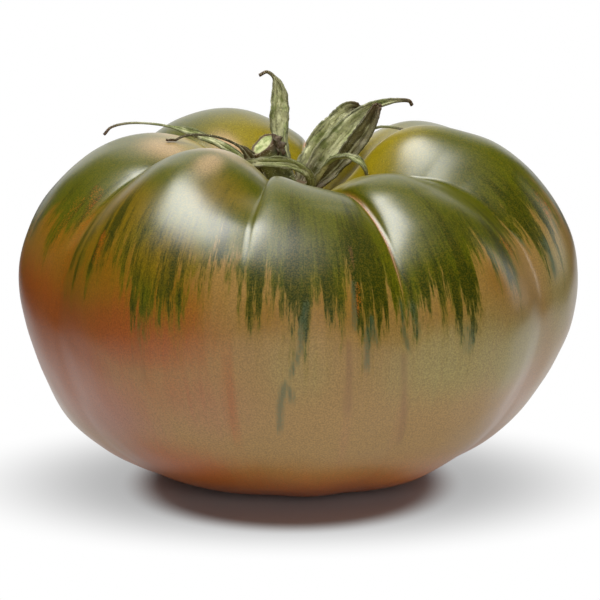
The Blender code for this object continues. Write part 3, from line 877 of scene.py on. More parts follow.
    def build(self, finish: SkinFinish, shared: SharedEffects) -> tuple[Object, Vector]:
        """Build the skin.

        Returns:
            The piece, and the shift that puts the formula's fruit where the solid stands.
        """
        columns = self.columns_per_lobe * len(self.skin.lobes)
        bm = bmesh.new()
        bmesh.ops.create_uvsphere(bm, u_segments=columns, v_segments=self.rings, radius=1.0)
        sphere = np.array([vertex.co[:] for vertex in bm.verts])
        turns = np.arctan2(sphere[:, 0], -sphere[:, 1]) % (2.0 * math.pi)
        column = np.round(turns / (2.0 * math.pi) * columns).astype(int) % columns
        station = np.round(np.arccos(np.clip(sphere[:, 2], -1.0, 1.0)) / math.pi * self.rings) / self.rings
        index = column // self.columns_per_lobe
        across = (column % self.columns_per_lobe) / self.columns_per_lobe
        points = self.skin.points(index, across, station)
        low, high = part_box(Node.FRUIT.value)
        centre = (points.min(0) + points.max(0)) / 2.0
        shift = Vector(((low[0] + high[0]) / 2.0 - centre[0], (low[1] + high[1]) / 2.0 - centre[1], 0.0))
        points = self._relieve(points) + np.array(shift)
        for vertex, point in zip(bm.verts, points):
            vertex.co = point
        bmesh.ops.recalc_face_normals(bm, faces=bm.faces[:])
        piece = object_from(bm, "fruit_skin", finish.material(shared))
        self._dress(piece.data, index, across, station)
        settle(piece, Node.FRUIT)
        return piece, shift

    def _relieve(self, points: np.ndarray) -> np.ndarray:
        """Add the skin's slight unevenness and the dimple of the blossom scar."""
        radius = np.hypot(points[:, 0], points[:, 1])
        outward = points - np.array([0.0, 0.0, self.relief_core])
        outward /= np.linalg.norm(outward, axis=1)[:, None]
        uneven = np.zeros(len(points))
        for finer, share in self.relief_layers:
            scale = finer / self.relief_size
            uneven += share * np.array([noise.noise(Vector(point) * scale) for point in points])
        lift = uneven * self.relief * smooth(points[:, 2] / self.still_foot)
        lifted = points + outward * lift[:, None]
        under = points[:, 2] < self.scar_top
        dimple = self.scar_depth * (1.0 - smooth(radius / self.scar_radius)) * under
        lifted[:, 2] = np.maximum(lifted[:, 2], 0.0) + dimple
        return lifted

    def _patches(self, patches: Sequence[Patch], azimuth: np.ndarray, station: np.ndarray) -> np.ndarray:
        """The strongest of some soft patches at each vertex."""
        values = np.zeros_like(station)
        for patch in patches:
            aside = turn_between(patch.azimuth, azimuth) / patch.spread
            down = (station - patch.station) / patch.height
            values = np.maximum(values, patch.strength * np.exp(-(aside ** 2 + down ** 2) ** 1.4))
        return np.clip(values, 0.0, 1.0)

    def _edge(self, azimuth: np.ndarray, station: np.ndarray) -> np.ndarray:
        """How far above the green's lower edge each vertex is, each flame a drip with a round end."""
        values = along(self.reach, azimuth) - station
        for flame in self.flames:
            aside = turn_between(flame.azimuth, azimuth) / flame.half_width
            values = np.maximum(values, flame.tip - station - flame.length * aside ** 2)
        return np.maximum(values, -0.2)

    def _dark(self, azimuth: np.ndarray, station: np.ndarray) -> np.ndarray:
        """How dark the flames make each vertex."""
        values = np.zeros_like(station)
        for flame in self.flames:
            across = 1.0 - (turn_between(flame.azimuth, azimuth) / flame.half_width / 1.2) ** 2
            up = (flame.tip - station) / flame.length
            fade = smooth((up + 0.3) / 0.3) * (1.0 - smooth((up - 0.8) / 2.2))
            values = np.maximum(values, flame.ink * np.clip(across, 0.0, 1.0) * fade)
        return np.maximum(values, self._patches(self.gloom, azimuth, station))

    def _lined(self, lines: Sequence[Line], azimuth: np.ndarray, station: np.ndarray) -> np.ndarray:
        """How strongly some thin lines mark each vertex."""
        values = np.zeros_like(station)
        for line in lines:
            azimuths, stations = zip(*line.route)
            middle = np.interp(station, stations, azimuths)
            across = 1.0 - np.abs(turn_between(middle, azimuth)) / (2.0 * line.half_width)
            first, last = stations[0], stations[-1]
            limits = (first - self.line_start, first + self.line_start, last - self.line_end, last)
            ends = swell(limits, station)
            values = np.maximum(values, line.strength * np.clip(across, 0.0, 1.0) * ends)
        return values

    def _creases(self, index: np.ndarray, across: np.ndarray, station: np.ndarray, radius: np.ndarray,
                 peach_and_rim_sheen: np.ndarray) -> np.ndarray:
        """How far in mm each vertex is from the nearest corky groove, how corky it is, and how much peach
        and painted rim sheen it takes.
        """
        gap = np.full_like(station, 9.0)
        strength = np.zeros_like(station)
        width = np.radians(self.skin.azimuth(index, 1.0, station) - self.skin.azimuth(index, 0.0, station))
        for groove, stations, share in self.cork_grooves:
            for lobe, part in ((groove, across), ((groove - 1) % len(self.skin.lobes), 1.0 - across)):
                on_lobe = index == lobe
                gap = np.where(on_lobe, np.minimum(gap, part * width * radius / MM), gap)
                strong = np.maximum(strength, share * swell(stations, station))
                strength = np.where(on_lobe & (part < 0.5), strong, strength)
        return np.stack([gap, strength, peach_and_rim_sheen], -1)

    def _dress(self, mesh: bpy.types.Mesh, index: np.ndarray, across: np.ndarray,
               station: np.ndarray) -> None:
        """Store what the skin's material reads."""
        azimuth = turn_between(0.0, self.skin.azimuth(index, across, station))
        turn = np.radians(azimuth)
        base = self.base_share * ramp(self.base_line, station)
        rust, amber, pink, sage, ripe, peach_and_rim_sheen = (self._patches(patches, azimuth, station) for patches in (
            self.rust, self.amber, self.pink, self.sage, self.ripe, self.peach_and_rim_sheen))
        tables = (self.teal_lines, self.brown_lines, self.orange_lines)
        lines = [self._lined(table, azimuth, station) for table in tables]
        pit = 1.0 - ramp(self.pit_line, station)
        dots = 1.0 - ramp(self.dotted_line, station)
        scar = ramp(self.scar_line, station)
        spots = np.array([vertex.co[:] for vertex in mesh.vertices])
        radius = np.hypot(spots[:, 0], spots[:, 1])
        write_attribute(mesh, "flow", np.stack([np.cos(turn), np.sin(turn), station], -1))
        write_attribute(mesh, "edge", self._edge(azimuth, station))
        write_attribute(mesh, "dark", self._dark(azimuth, station))
        write_attribute(mesh, "matte", self._patches(self.matte, azimuth, station))
        write_attribute(mesh, "warm", np.stack([rust, amber, pink], -1))
        write_attribute(mesh, "cool", np.stack([sage, ripe, base], -1))
        write_attribute(mesh, "lines", np.stack(lines, -1))
        write_attribute(mesh, "hollow", np.stack([pit, dots, scar], -1))
        write_attribute(mesh, "crease", self._creases(index, across, station, radius, peach_and_rim_sheen))


@dataclass(frozen=True)
class Sepal:
    """One dried sepal, along the route that its solid has.

    The route holds (x, y, height, width) in mm, from the receptacle to the tip.
    """
    name: str
    facing: tuple[float, float, float]
    fold: float
    route: Table
    twist: float = 0.0
    curl: float = 0.15
    wave: float = 0.10
    seed: int = 1
    tone: float = 0.5


@dataclass
class Blades:
    """The maker of thin blades: sepals and torn bark.

    Each unevenness is a share of the blade's width and how closely it follows along or across the blade.
    Below thread_width (mm) a blade narrows to a thread, and below rooted it isn't moved off the skin.
    """
    columns: int = 18
    rows: int = 110
    thickness: float = 0.32 * MM
    thread_width: float = 1.3
    thread_share: float = 0.60
    rooted: float = 0.25
    ragged: tuple[float, float] = (0.16, 9.0)
    nibbled: tuple[float, float] = (0.12, 38.0)
    wrinkled: tuple[float, float] = (0.16, 14.0)
    ribbed: tuple[float, float] = (0.035, 11.0)
    waves: float = 21.0
    lane: float = 1.7

    def build(self, sepal: Sepal, shift: Vector, tree: BVHTree | None, clearance: float,
              material: Material) -> Object:
        """Build one blade.

        Args:
            sepal: its route and form.
            shift: from the route's place to the model's.
            tree: the fruit's skin, which the blade stays clear of.
            clearance: how far its middle stays above the skin.
            material: its finish.

        Returns:
            The blade's object, with its thickness.
        """
        bm = bmesh.new()
        bmesh.ops.create_grid(bm, x_segments=self.columns, y_segments=self.rows, size=1.0)
        flat = np.array([vertex.co[:] for vertex in bm.verts])
        side, place = flat[:, 0], (flat[:, 1] + 1.0) / 2.0
        route = curve_points(sepal.route, place)
        ahead = curve_points(sepal.route, np.minimum(place + 0.01, 1.0))[:, :3]
        behind = curve_points(sepal.route, np.maximum(place - 0.01, 0.0))[:, :3]
        for vertex, spot, tangent, lateral, at in zip(bm.verts, route, ahead - behind, side, place):
            point = self._point(sepal, spot, Vector(tangent).normalized(), lateral, at) + shift
            vertex.co = self._clear(point, tree, clearance) if tree and at > self.rooted else point
        piece = object_from(bm, sepal.name, material)
        lane = np.full_like(side, self.lane * sepal.seed)
        write_attribute(piece.data, "blade", np.stack([side, lane, place], -1))
        write_attribute(piece.data, "tone", np.full_like(side, sepal.tone))
        wall = piece.modifiers.new("thickness", "SOLIDIFY")
        wall.thickness = self.thickness
        wall.offset = 0.0
        return piece

    def _point(self, sepal: Sepal, spot: np.ndarray, tangent: Vector, side: float, place: float) -> Vector:
        """A point of the blade, in metres, before it is moved clear of the skin."""
        width = spot[3]
        thread = float(smooth((self.thread_width - width) / 0.4))
        width *= 1.0 - thread * self.thread_share
        (rag, rags), (nib, nibs), (crease, creases), (rib, ribs) = (
            self.ragged, self.nibbled, self.wrinkled, self.ribbed)
        ragged = rag * noise.noise(Vector((place * rags, side * 0.6, sepal.seed * 3.1)))
        nibbled = nib * noise.noise(Vector((place * nibs, math.copysign(3.0, side), sepal.seed * 2.3)))
        width *= 1.0 + ragged + nibbled * side * side
        across = tangent.cross(Vector(sepal.facing)).normalized()
        across = Matrix.Rotation(math.radians(sepal.twist * place), 3, tangent) @ across
        upward = across.cross(tangent)
        body = 1.0 - thread
        cup = abs(side) * sepal.fold + side * side * sepal.curl
        wrinkle = crease * body * noise.noise(Vector((place * creases, side * 2.2, sepal.seed * 1.7)))
        wave = math.sin(place * self.waves + sepal.seed) * side * abs(side) * sepal.wave * body
        ribbing = rib * math.cos(side * ribs) * (0.4 + body)
        raised = across * side * width / 2.0 + upward * (cup + wrinkle + wave + ribbing) * width
        return (Vector(spot[:3].tolist()) + raised) * MM

    def _clear(self, point: Vector, tree: BVHTree, clearance: float) -> Vector:
        """The point, raised where it would come too near the skin below it."""
        hit = tree.ray_cast(Vector((point.x, point.y, 0.1)), Vector((0.0, 0.0, -1.0)))[0]
        return point if hit is None else Vector((point.x, point.y, max(point.z, hit.z + clearance)))


@dataclass
class Hairs:
    """The maker of fine hairs on a surface."""
    radius: float = 0.032 * MM
    length: float = 0.60 * MM
    taper: float = 0.15
    spread: float = 0.45

    def build(self, name: str, host: Object, count: int, reach: float, seed: int,
              material: Material) -> Object:
        """Stand hairs on a host's faces.

        Args:
            name: the piece's name.
            host: the object that the hairs grow on.
            count: how many there are.
            reach: the longest hair's share of the usual length.
            seed: the seed of the draw.
            material: their finish.

        Returns:
            One object with all hairs.
        """
        draw = np.random.default_rng(seed)
        faces = host.data.polygons
        bm = bmesh.new()
        for pick in draw.integers(0, len(faces), count):
            face = faces[int(pick)]
            lean = Vector((draw.normal(0.0, self.spread) for _ in range(3)))
            way = (face.normal + lean).normalized()
            length = self.length * reach * draw.uniform(0.45, 1.0)
            middle = Matrix.Translation(face.center + way * length / 2.0)
            place = middle @ way.to_track_quat("Z", "Y").to_matrix().to_4x4()
            bmesh.ops.create_cone(bm, cap_ends=True, segments=3, radius1=self.radius,
                                  radius2=self.radius * self.taper, depth=length, matrix=place)
        return object_from(bm, name, material)


@dataclass
class Calyx:
    """The receptacle and its nine dried sepals.

    The ribs and the roughness of the receptacle are each a share of its radius and how closely they follow.
    """
    hub_axis: tuple[float, float] = (-1.2, 0.4)
    hub_profile: Table = ((0.0, 45.2), (3.2, 45.4), (4.3, 46.4), (4.5, 47.3), (3.9, 48.2), (2.4, 48.9),
                          (0.0, 49.0))
    hub_rings: int = 25
    hub_sides: int = 40
    hub_lanes: float = 300.0
    hub_ribs: tuple[float, float] = (0.06, 9.0)
    hub_rough: tuple[float, float] = (0.05, 900.0)
    hair_count: int = 240
    hair_reach: float = 0.7
    clearance: float = 0.35 * MM
    blades: Blades = field(default_factory=Blades)
    hairs: Hairs = field(default_factory=Hairs)
    sepals: Sequence[Sepal] = (
        Sepal("sepal_back", (0.1, -1.0, 0.1), 0.18, seed=1, tone=0.65, route=(
            (-1.4, 3.2, 46.9, 2.0), (-2.1, 4.6, 50.6, 2.1), (-3.0, 6.0, 54.6, 2.3), (-3.2, 7.2, 58.4, 3.1),
            (-3.1, 8.0, 61.6, 2.6), (-3.6, 8.0, 64.4, 1.2), (-5.0, 7.6, 65.9, 0.8), (-6.4, 7.2, 65.4, 0.8))),
        Sepal("sepal_left", (-0.2, -0.6, 1.0), 0.12, seed=2, tone=0.1, route=(
            (-4.6, 0.0, 46.8, 1.8), (-6.9, -0.2, 50.2, 2.4), (-8.0, -0.4, 53.0, 1.9),
            (-9.8, -1.0, 55.2, 1.0), (-13.4, -1.6, 56.8, 0.9), (-17.8, -2.6, 57.2, 0.9),
            (-20.4, -3.8, 56.2, 0.9), (-21.2, -4.4, 54.9, 0.9))),
        Sepal("sepal_front_left", (0.0, -0.9, 0.7), 0.15, seed=3, tone=0.35, route=(
            (0.8, -1.2, 47.2, 1.4), (2.0, -3.2, 49.2, 1.4), (1.2, -4.8, 51.4, 1.6), (-1.6, -5.9, 53.0, 1.9),
            (-5.8, -7.4, 53.4, 1.8), (-9.4, -9.4, 53.6, 1.4), (-11.7, -11.2, 54.3, 0.9))),
        Sepal("sepal_front_right", (0.3, -0.5, 1.0), 0.14, seed=4, tone=0.4, route=(
            (1.6, -0.6, 47.2, 1.6), (3.4, -2.6, 50.0, 1.7), (5.0, -4.6, 53.0, 1.6), (7.6, -6.6, 54.4, 1.5),
            (9.9, -7.6, 53.6, 1.3), (11.0, -7.8, 51.6, 1.0), (10.4, -8.0, 50.6, 0.9))),
        Sepal("sepal_right", (-0.1, -1.0, 0.2), 0.45, seed=5, tone=0.2, route=(
            (1.4, 0.2, 47.2, 1.8), (4.2, 0.6, 49.4, 2.0), (6.6, 1.6, 51.6, 2.4), (9.2, 2.8, 54.4, 2.7),
            (11.4, 4.0, 57.4, 2.3), (12.8, 4.6, 60.2, 1.5), (13.1, 4.8, 61.2, 1.0))),
        Sepal("sepal_right_back", (-0.3, -1.0, 0.2), 0.42, seed=6, tone=0.7, route=(
            (1.2, 1.4, 47.4, 2.4), (3.4, 3.6, 50.6, 3.4), (6.2, 5.2, 54.2, 3.6), (9.4, 6.8, 57.6, 3.0),
            (12.2, 7.8, 60.0, 1.5), (15.1, 8.4, 60.9, 1.1), (18.0, 8.6, 61.0, 0.9), (18.8, 8.6, 60.2, 0.9))),
        Sepal("sepal_back_right", (-0.3, -1.0, 0.2), 0.34, seed=7, tone=0.8, route=(
            (0.4, 2.4, 47.4, 2.4), (1.6, 4.6, 50.8, 2.9), (3.6, 6.6, 54.2, 3.2), (6.2, 8.6, 57.2, 2.8),
            (8.6, 10.2, 59.2, 2.0), (10.2, 11.6, 59.0, 1.0))),
        Sepal("sepal_low_right", (-0.2, -0.4, 1.0), 0.10, seed=8, tone=0.5, route=(
            (1.8, 1.0, 47.4, 1.6), (5.6, 2.8, 51.2, 1.4), (9.6, 3.8, 55.2, 1.2), (12.8, 4.2, 57.2, 1.0),
            (16.2, 4.0, 57.2, 0.9), (20.2, 3.2, 56.2, 1.1))),
        Sepal("sepal_long_left", (0.0, -0.5, 1.0), 0.16, seed=9, tone=0.5, route=(
            (-3.6, 2.8, 46.9, 1.5), (-6.6, 4.2, 49.8, 1.3), (-9.4, 4.6, 52.0, 1.2), (-13.2, 4.8, 54.2, 1.7),
            (-16.8, 5.0, 55.8, 1.6), (-21.6, 6.0, 57.2, 0.9), (-26.8, 6.6, 57.6, 0.9),
            (-30.4, 5.4, 57.2, 0.9), (-31.8, 4.6, 56.0, 0.9))))

    def build(self, shift: Vector, tree: BVHTree, finish: LeafFinish, hair: Material,
              shared: SharedEffects) -> None:
        """Build the receptacle, the sepals and their hairs."""
        material = finish.material(shared)
        settle(self._hub(shift, material), Node.CALYX)
        for sepal in self.sepals:
            blade = self.blades.build(sepal, shift, tree, self.clearance, material)
            settle(blade, Node.CALYX)
            fuzz = self.hairs.build(f"{sepal.name}_hairs", blade, self.hair_count, self.hair_reach,
                                    sepal.seed, hair)
            settle(fuzz, Node.CALYX)

    def _hub(self, shift: Vector, material: Material) -> Object:
        """The receptacle, turned from its half section."""
        bm = bmesh.new()
        section = curve_points(self.hub_profile, np.linspace(0.0, 1.0, self.hub_rings))
        chain = [bm.verts.new((max(radius, 0.0) * MM, 0.0, height * MM)) for radius, height in section]
        edges = [bm.edges.new(pair) for pair in zip(chain, chain[1:])]
        bmesh.ops.spin(bm, geom=chain + edges, cent=(0.0, 0.0, 0.0), axis=(0.0, 0.0, 1.0),
                       dvec=(0.0, 0.0, 0.0), angle=2.0 * math.pi, steps=self.hub_sides, use_merge=True,
                       use_duplicate=False)
        bmesh.ops.remove_doubles(bm, verts=bm.verts[:], dist=0.001 * MM)
        (rib, ribs), (rough, close) = self.hub_ribs, self.hub_rough
        for vertex in bm.verts:
            turn = math.atan2(vertex.co.y, vertex.co.x)
            vertex.co.xy *= 1.0 + rib * math.sin(turn * ribs) + rough * noise.noise(vertex.co * close)
        bmesh.ops.translate(bm, verts=bm.verts[:], vec=Vector((*self.hub_axis, 0.0)) * MM + shift)
        bmesh.ops.recalc_face_normals(bm, faces=bm.faces[:])
        piece = object_from(bm, "receptacle", material)
        spots = np.array([vertex.co[:] for vertex in piece.data.vertices]) * self.hub_lanes
        lanes = np.stack([spots[:, 0] + 0.5, spots[:, 1], np.zeros(len(spots))], -1)
        write_attribute(piece.data, "blade", lanes)
        return piece


@dataclass
class Stalk:
    """The stub of the stalk: its bark, the pith of the cut end, a torn flap and hairs.

    Fluting holds the share of the radius, the number of flutes and their turn up the stalk. Rough holds a
    share of the radius and how closely the roughness follows round and along it. Both edge rows hold the
    limits between which the brown rim sets in, up the bark and out over the pith.
    """
    route: Table = ((-2.3, 0.5, 47.6, 2.6), (-2.5, 0.5, 48.5, 2.4), (-2.9, 0.5, 49.6, 2.15),
                    (-3.4, 0.5, 51.0, 2.25), (-4.1, 0.4, 52.6, 2.45), (-5.0, 0.2, 54.2, 2.5),
                    (-5.8, 0.0, 55.3, 2.3))
    cut_radius: float = 2.3 * MM
    cut_facing: tuple[float, float, float] = (-0.62, -0.33, 0.71)
    sides: int = 56
    rings: int = 34
    wall: float = 0.34 * MM
    recess: float = 0.22 * MM
    fluting: tuple[float, float, float] = (0.035, 5.0, 2.0)
    rough: tuple[float, float, float] = (0.05, 1.4, 3.0)
    bark_edge: tuple[float, float] = (0.82, 1.0)
    pith_edge: tuple[float, float] = (0.72, 0.92)
    pith_radius: float = 0.97
    pith_rings: int = 7
    pith_step: float = 0.12
    pith_rough: tuple[float, float] = (0.05, 4.0)
    flap: Sepal = Sepal(
        "stalk_flap", (0.5, -1.0, 0.1), 0.25, twist=35.0, curl=0.35, wave=0.2, seed=12,
        route=((-3.0, -0.9, 53.6, 1.2), (-3.3, -1.1, 54.8, 1.6), (-3.8, -0.8, 56.0, 1.5),
               (-4.2, -0.2, 56.9, 0.9)))
    hairs: Hairs = field(default_factory=Hairs)
    hair_count: int = 420
    hair_seed: int = 31

    def build(self, shift: Vector, bark: BarkFinish, pith: PithFinish, flap: LeafFinish, hair: Material,
              shared: SharedEffects) -> None:
        """Build the stalk's pieces."""
        tube = self._bark(shift, bark.material(shared))
        settle(tube, Node.STEM)
        settle(self._pith(shift, pith.material(shared)), Node.STEM)
        torn = Blades(columns=6, rows=24).build(self.flap, shift, None, 0.0, flap.material(shared))
        settle(torn, Node.STEM)
        fuzz = self.hairs.build("stalk_hairs", tube, self.hair_count, 1.0, self.hair_seed, hair)
        settle(fuzz, Node.STEM)

    def _frame(self, place: float, shift: Vector) -> Matrix:
        """The place and lean of the stalk's cross section."""
        x, y, z, radius = curve_points(self.route, np.array(place))
        lean = Vector((0.0, 0.0, 1.0)).lerp(Vector(self.cut_facing).normalized(), float(smooth(place)))
        turn = lean.to_track_quat("Z", "Y").to_matrix().to_4x4()
        middle = Matrix.Translation(Vector((x, y, z)) * MM + shift)
        return middle @ turn @ Matrix.Scale(float(radius) * MM, 4)

    def _bark(self, shift: Vector, material: Material) -> Object:
        """The tube, extruded ring by ring from a circle, with its rim turned in at the cut."""
        bm = bmesh.new()
        ring = bmesh.ops.create_circle(bm, cap_ends=False, radius=1.0, segments=self.sides)["verts"]
        edges = list({edge for vertex in ring for edge in vertex.link_edges})
        layers = [ring]
        for _ in range(self.rings + 2):
            made = bmesh.ops.extrude_edge_only(bm, edges=edges)["geom"]
            edges = [part for part in made if isinstance(part, bmesh.types.BMEdge)]
            layers.append([part for part in made if isinstance(part, bmesh.types.BMVert)])
        rim = []
        flute_share, flutes, flute_turn = self.fluting
        rough_share, around, upward = self.rough
        for layer, verts in enumerate(layers):
            place = min(layer / self.rings, 1.0)
            spot = self._frame(place, shift)
            inset = 1.0 - self.wall / self.cut_radius * max(layer - self.rings, 0) * 0.5
            drop = self.recess / self.cut_radius * (layer > self.rings + 1)
            for vertex in verts:
                turn = math.atan2(vertex.co.y, vertex.co.x)
                x, y = math.cos(turn), math.sin(turn)
                flute = 1.0 + flute_share * math.sin(flutes * turn + place * flute_turn)
                flute += rough_share * noise.noise(Vector((x * around, y * around, place * upward)))
                flat = Vector((x, y, 0.0)) * flute * inset
                vertex.co = spot @ (flat - Vector((0.0, 0.0, drop)))
                rim.append((vertex, float(ramp(self.bark_edge, place))))
        bmesh.ops.recalc_face_normals(bm, faces=bm.faces[:])
        bm.verts.index_update()
        shares = np.zeros(len(bm.verts))
        for vertex, share in rim:
            shares[vertex.index] = share
        piece = object_from(bm, "stalk_bark", material)
        write_attribute(piece.data, "rim", shares)
        return piece

    def _pith(self, shift: Vector, material: Material) -> Object:
        """The cut face: a disc inset in rings, slightly uneven and sunk below the rim."""
        bm = bmesh.new()
        bmesh.ops.create_circle(bm, cap_ends=True, radius=self.pith_radius, segments=self.sides)
        for _ in range(self.pith_rings):
            middle = max(bm.faces, key=lambda face: len(face.verts))
            bmesh.ops.inset_region(bm, faces=[middle], thickness=self.pith_step, use_even_offset=True,
                                   use_boundary=True)
        bmesh.ops.triangulate(bm, faces=[max(bm.faces, key=lambda face: len(face.verts))])
        spot = self._frame(1.0, shift)
        sunk = 0.6 * self.recess / self.cut_radius
        share, close = self.pith_rough
        shares = []
        for vertex in bm.verts:
            radius = vertex.co.xy.length
            shares.append(float(ramp(self.pith_edge, radius)))
            rough = share * noise.noise(Vector((vertex.co.x * close, vertex.co.y * close, 2.0)))
            vertex.co = spot @ Vector((vertex.co.x, vertex.co.y, rough - sunk))
        bmesh.ops.recalc_face_normals(bm, faces=bm.faces[:])
        piece = object_from(bm, "stalk_pith", material)
        write_attribute(piece.data, "rim", np.array(shares))
        return piece


@dataclass(frozen=True)
class Panel:
    """A soft light panel that faces the fruit.

    Its radiance is even in the middle and fades to its edge. A fill shows in no reflection.
    """
    name: str
    azimuth: float
    elevation: float
    distance: float
    size: tuple[float, float]
    radiance: float
    reflected: bool
    lights: bool
    even_share: float = 0.5


@dataclass
class Studio:
    """The pale floor, the soft lights, the surround and the camera.

    The floor has a painted shadow: a darker brownish core under the fruit, where the floor also takes real
    shade, and round it a dimmed grey glow that brightens to white beyond. The surround is back_tone behind
    the fruit and front_tone in front of it and overhead, in reflections alone.
    """
    floor_radius: float = 1.2
    # A darker brownish floor colour, which paints the shadow's core under the fruit.
    shadow_tinted_floor_colour: Colour = (0.46, 0.4048, 0.3956, 1.0)
    shade_centre: tuple[float, float, float] = (-0.001, -0.005, 0.0)
    shadow_core_stretch: tuple[float, float, float] = (1.2, 1.05, 1.0)
    # The floor's shadow is painted: a darker core, and a glow round it that is dimmed near the fruit.
    painted_shadow_stretch: tuple[float, float, float] = (0.90, 1.15, 1.0)
    shadow_core_radii: tuple[float, float] = (0.0255, 0.0340)
    painted_shadow_radii: tuple[float, float] = (0.022, 0.054)
    painted_shadow_tone: float = 0.44
    strip_centre: float = 0.03
    strip_half_width: tuple[float, float] = (0.07, 0.17)
    camera_elevation: float = 12.5
    camera_distance: float = 0.640
    camera_target: tuple[float, float, float] = (0.0003, 0.0, 0.0293)
    focal_pixels: float = 3900.0
    image_pixels: float = 600.0
    sensor: float = 36.0
    aim_height: float = 0.04
    back_tone: float = 1.1
    front_tone: float = 0.0
    back_slope: float = 0.48
    back_edge: tuple[float, float] = (-0.10, 0.10)
    crown: tuple[float, float] = (0.70, 0.90)
    panels: Sequence[Panel] = (
        Panel("softbox", -64.0, 70.5, 0.60, (0.54, 0.52), 17.0, True, False, 0.35),
        Panel("side_strip", 118.0, 12.0, 0.60, (0.14, 0.60), 3.0, True, False, 0.3),
        Panel("ceiling_fill", -90.0, 86.0, 0.80, (1.10, 1.10), 7.0, False, True),
        Panel("front_fill", 8.0, 13.0, 1.00, (0.90, 0.70), 4.8, False, True))

    def build(self, shift: Vector) -> None:
        """Build the studio round the fruit."""
        scene = bpy.context.scene
        scene.view_settings.view_transform = "Standard"
        scene.view_settings.look = "None"
        self._floor()
        for panel in self.panels:
            self._panel(panel)
        self._surround(scene)
        self._camera(scene, shift)

    def _direction(self, azimuth: float, elevation: float) -> Vector:
        """The way from the fruit to a light."""
        turn, up = math.radians(azimuth), math.radians(elevation)
        return Vector((math.sin(turn) * math.cos(up), -math.cos(turn) * math.cos(up), math.sin(up)))

    def _floor(self) -> None:
        """A round pale floor with a painted shadow, a darker core and a dimmed grey glow round it, that
        fades into the white surround. To its sides, reflections see it dim.
        """
        bm = bmesh.new()
        bmesh.ops.create_circle(bm, cap_ends=True, radius=self.floor_radius, segments=96)
        material, board, shader = new_material("pale_floor")
        floor = object_from(bm, "floor", material)
        place = board.place()
        from_shade = board.offset(place, self.shade_centre)
        # Painted shadow: inside this core the floor is a darker brownish diffuse that also takes real shade;
        # outside it glows.
        shadow_core = board.step(board.length(board.stretch(from_shade, self.shadow_core_stretch)), *self.shadow_core_radii)
        shader.inputs["Base Color"].default_value = self.shadow_tinted_floor_colour
        shader.inputs["Roughness"].default_value = 0.8
        shader.inputs["Specular IOR Level"].default_value = 0.1
        off_strip = board.math("ABSOLUTE", board.math("SUBTRACT", board.split(place)[0], self.strip_centre))
        aside = board.step(off_strip, *self.strip_half_width)
        dim = board.times(aside, board.node("ShaderNodeLightPath").outputs["Is Glossy Ray"])
        white, dark = board.node("ShaderNodeEmission"), board.node("ShaderNodeEmission")
        dark.inputs["Strength"].default_value = self.front_tone
        # Painted shadow: the floor's glow is dimmed near the fruit and brightens to full white farther out.
        away = board.length(board.stretch(from_shade, self.painted_shadow_stretch))
        board.feed(white.inputs["Strength"], board.step(away, *self.painted_shadow_radii, self.painted_shadow_tone, 1.0))
        lit = board.blend(shadow_core, shader.outputs[0], white.outputs[0])
        output = next(node for node in board.tree.nodes if node.type == "OUTPUT_MATERIAL")
        board.feed(output.inputs["Surface"], board.blend(dim, lit, dark.outputs[0]))

    def _panel(self, panel: Panel) -> None:
        """Hang one light panel."""
        lamp = bpy.data.lights.new(panel.name, "AREA")
        lamp.shape = "RECTANGLE"
        lamp.size, lamp.size_y = panel.size
        lamp.energy = panel.radiance * math.pi * panel.size[0] * panel.size[1]
        lamp.use_nodes = True
        board = Board(lamp.node_tree)
        spot = board.offset(board.node("ShaderNodeNewGeometry").outputs["Parametric"], (0.5, 0.5, 0.0))
        glow = board.step(board.length(spot), 0.5 * panel.even_share, 0.5, 1.0, 0.0)
        emission = next(node for node in lamp.node_tree.nodes if node.type == "EMISSION")
        board.feed(emission.inputs["Strength"], glow)
        holder = bpy.data.objects.new(panel.name, lamp)
        way = self._direction(panel.azimuth, panel.elevation)
        holder.location = way * panel.distance + Vector((0.0, 0.0, self.aim_height))
        holder.rotation_euler = way.to_track_quat("Z", "Y").to_euler()
        holder.visible_glossy = panel.reflected
        holder.visible_diffuse = panel.lights
        bpy.context.scene.collection.objects.link(holder)

    def _surround(self, scene: bpy.types.Scene) -> None:
        """White behind the fruit and dim in front of it; plain white where the camera looks."""
        world = bpy.data.worlds.new("surround")
        world.use_nodes = True
        scene.world = world
        board = Board(world.node_tree)
        right, back, up = board.split(board.node("ShaderNodeTexCoord").outputs["Generated"])
        beside = board.math("SUBTRACT", board.math("ABSOLUTE", right), board.times(back, self.back_slope))
        behind = board.step(beside, *self.back_edge, self.back_tone, self.front_tone)
        tone = board.between(board.step(up, *self.crown), behind, self.front_tone)
        seen = board.between(board.node("ShaderNodeLightPath").outputs["Is Camera Ray"], tone, 1.0)
        background = world.node_tree.nodes["Background"]
        background.inputs["Color"].default_value = (1.0, 1.0, 1.0, 1.0)
        board.feed(background.inputs["Strength"], seen)

    def _camera(self, scene: bpy.types.Scene, shift: Vector) -> None:
        """The camera at the photograph's angle and distance."""
        data = bpy.data.cameras.new("camera")
        data.sensor_width = self.sensor
        data.lens = self.focal_pixels / self.image_pixels * self.sensor
        camera = bpy.data.objects.new("camera", data)
        way = self._direction(0.0, self.camera_elevation)
        camera.location = Vector(self.camera_target) + shift + way * self.camera_distance
        camera.rotation_euler = way.to_track_quat("Z", "Y").to_euler()
        scene.collection.objects.link(camera)
        scene.camera = camera


def skin_tree(piece: Object) -> BVHTree:
    """A search tree of the fruit's skin."""
    bm = bmesh.new()
    bm.from_mesh(piece.data)
    tree = BVHTree.FromBMesh(bm)
    bm.free()
    return tree


def write_sizes() -> None:
    """Update the view layer."""
    bpy.context.view_layer.update()


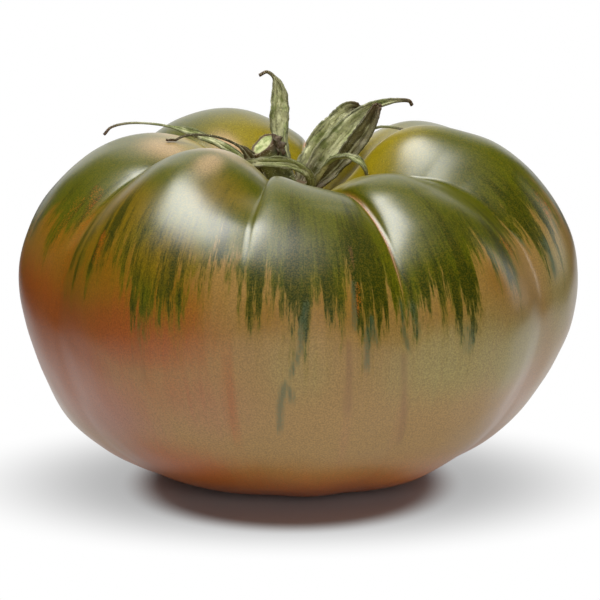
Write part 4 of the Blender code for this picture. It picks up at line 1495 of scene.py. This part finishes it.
def main() -> None:
    """Build the fruit, the calyx, the stalk and the studio, in that order."""
    logging.basicConfig(level=logging.INFO, format="%(message)s")
    shared = SharedEffects()
    skin, shift = Fruit().build(SkinFinish(), shared)
    tree = skin_tree(skin)
    hair = HairFinish().material()
    Calyx().build(shift, tree, LeafFinish(), hair, shared)
    torn = LeafFinish(name="torn_bark", pale=colour(128, 112, 88), green=colour(88, 72, 54),
                      tip=colour(80, 58, 44))
    Stalk().build(shift, BarkFinish(), PithFinish(), torn, hair, shared)
    Studio().build(shift)
    write_sizes()


if __name__ == "__main__":
    main()
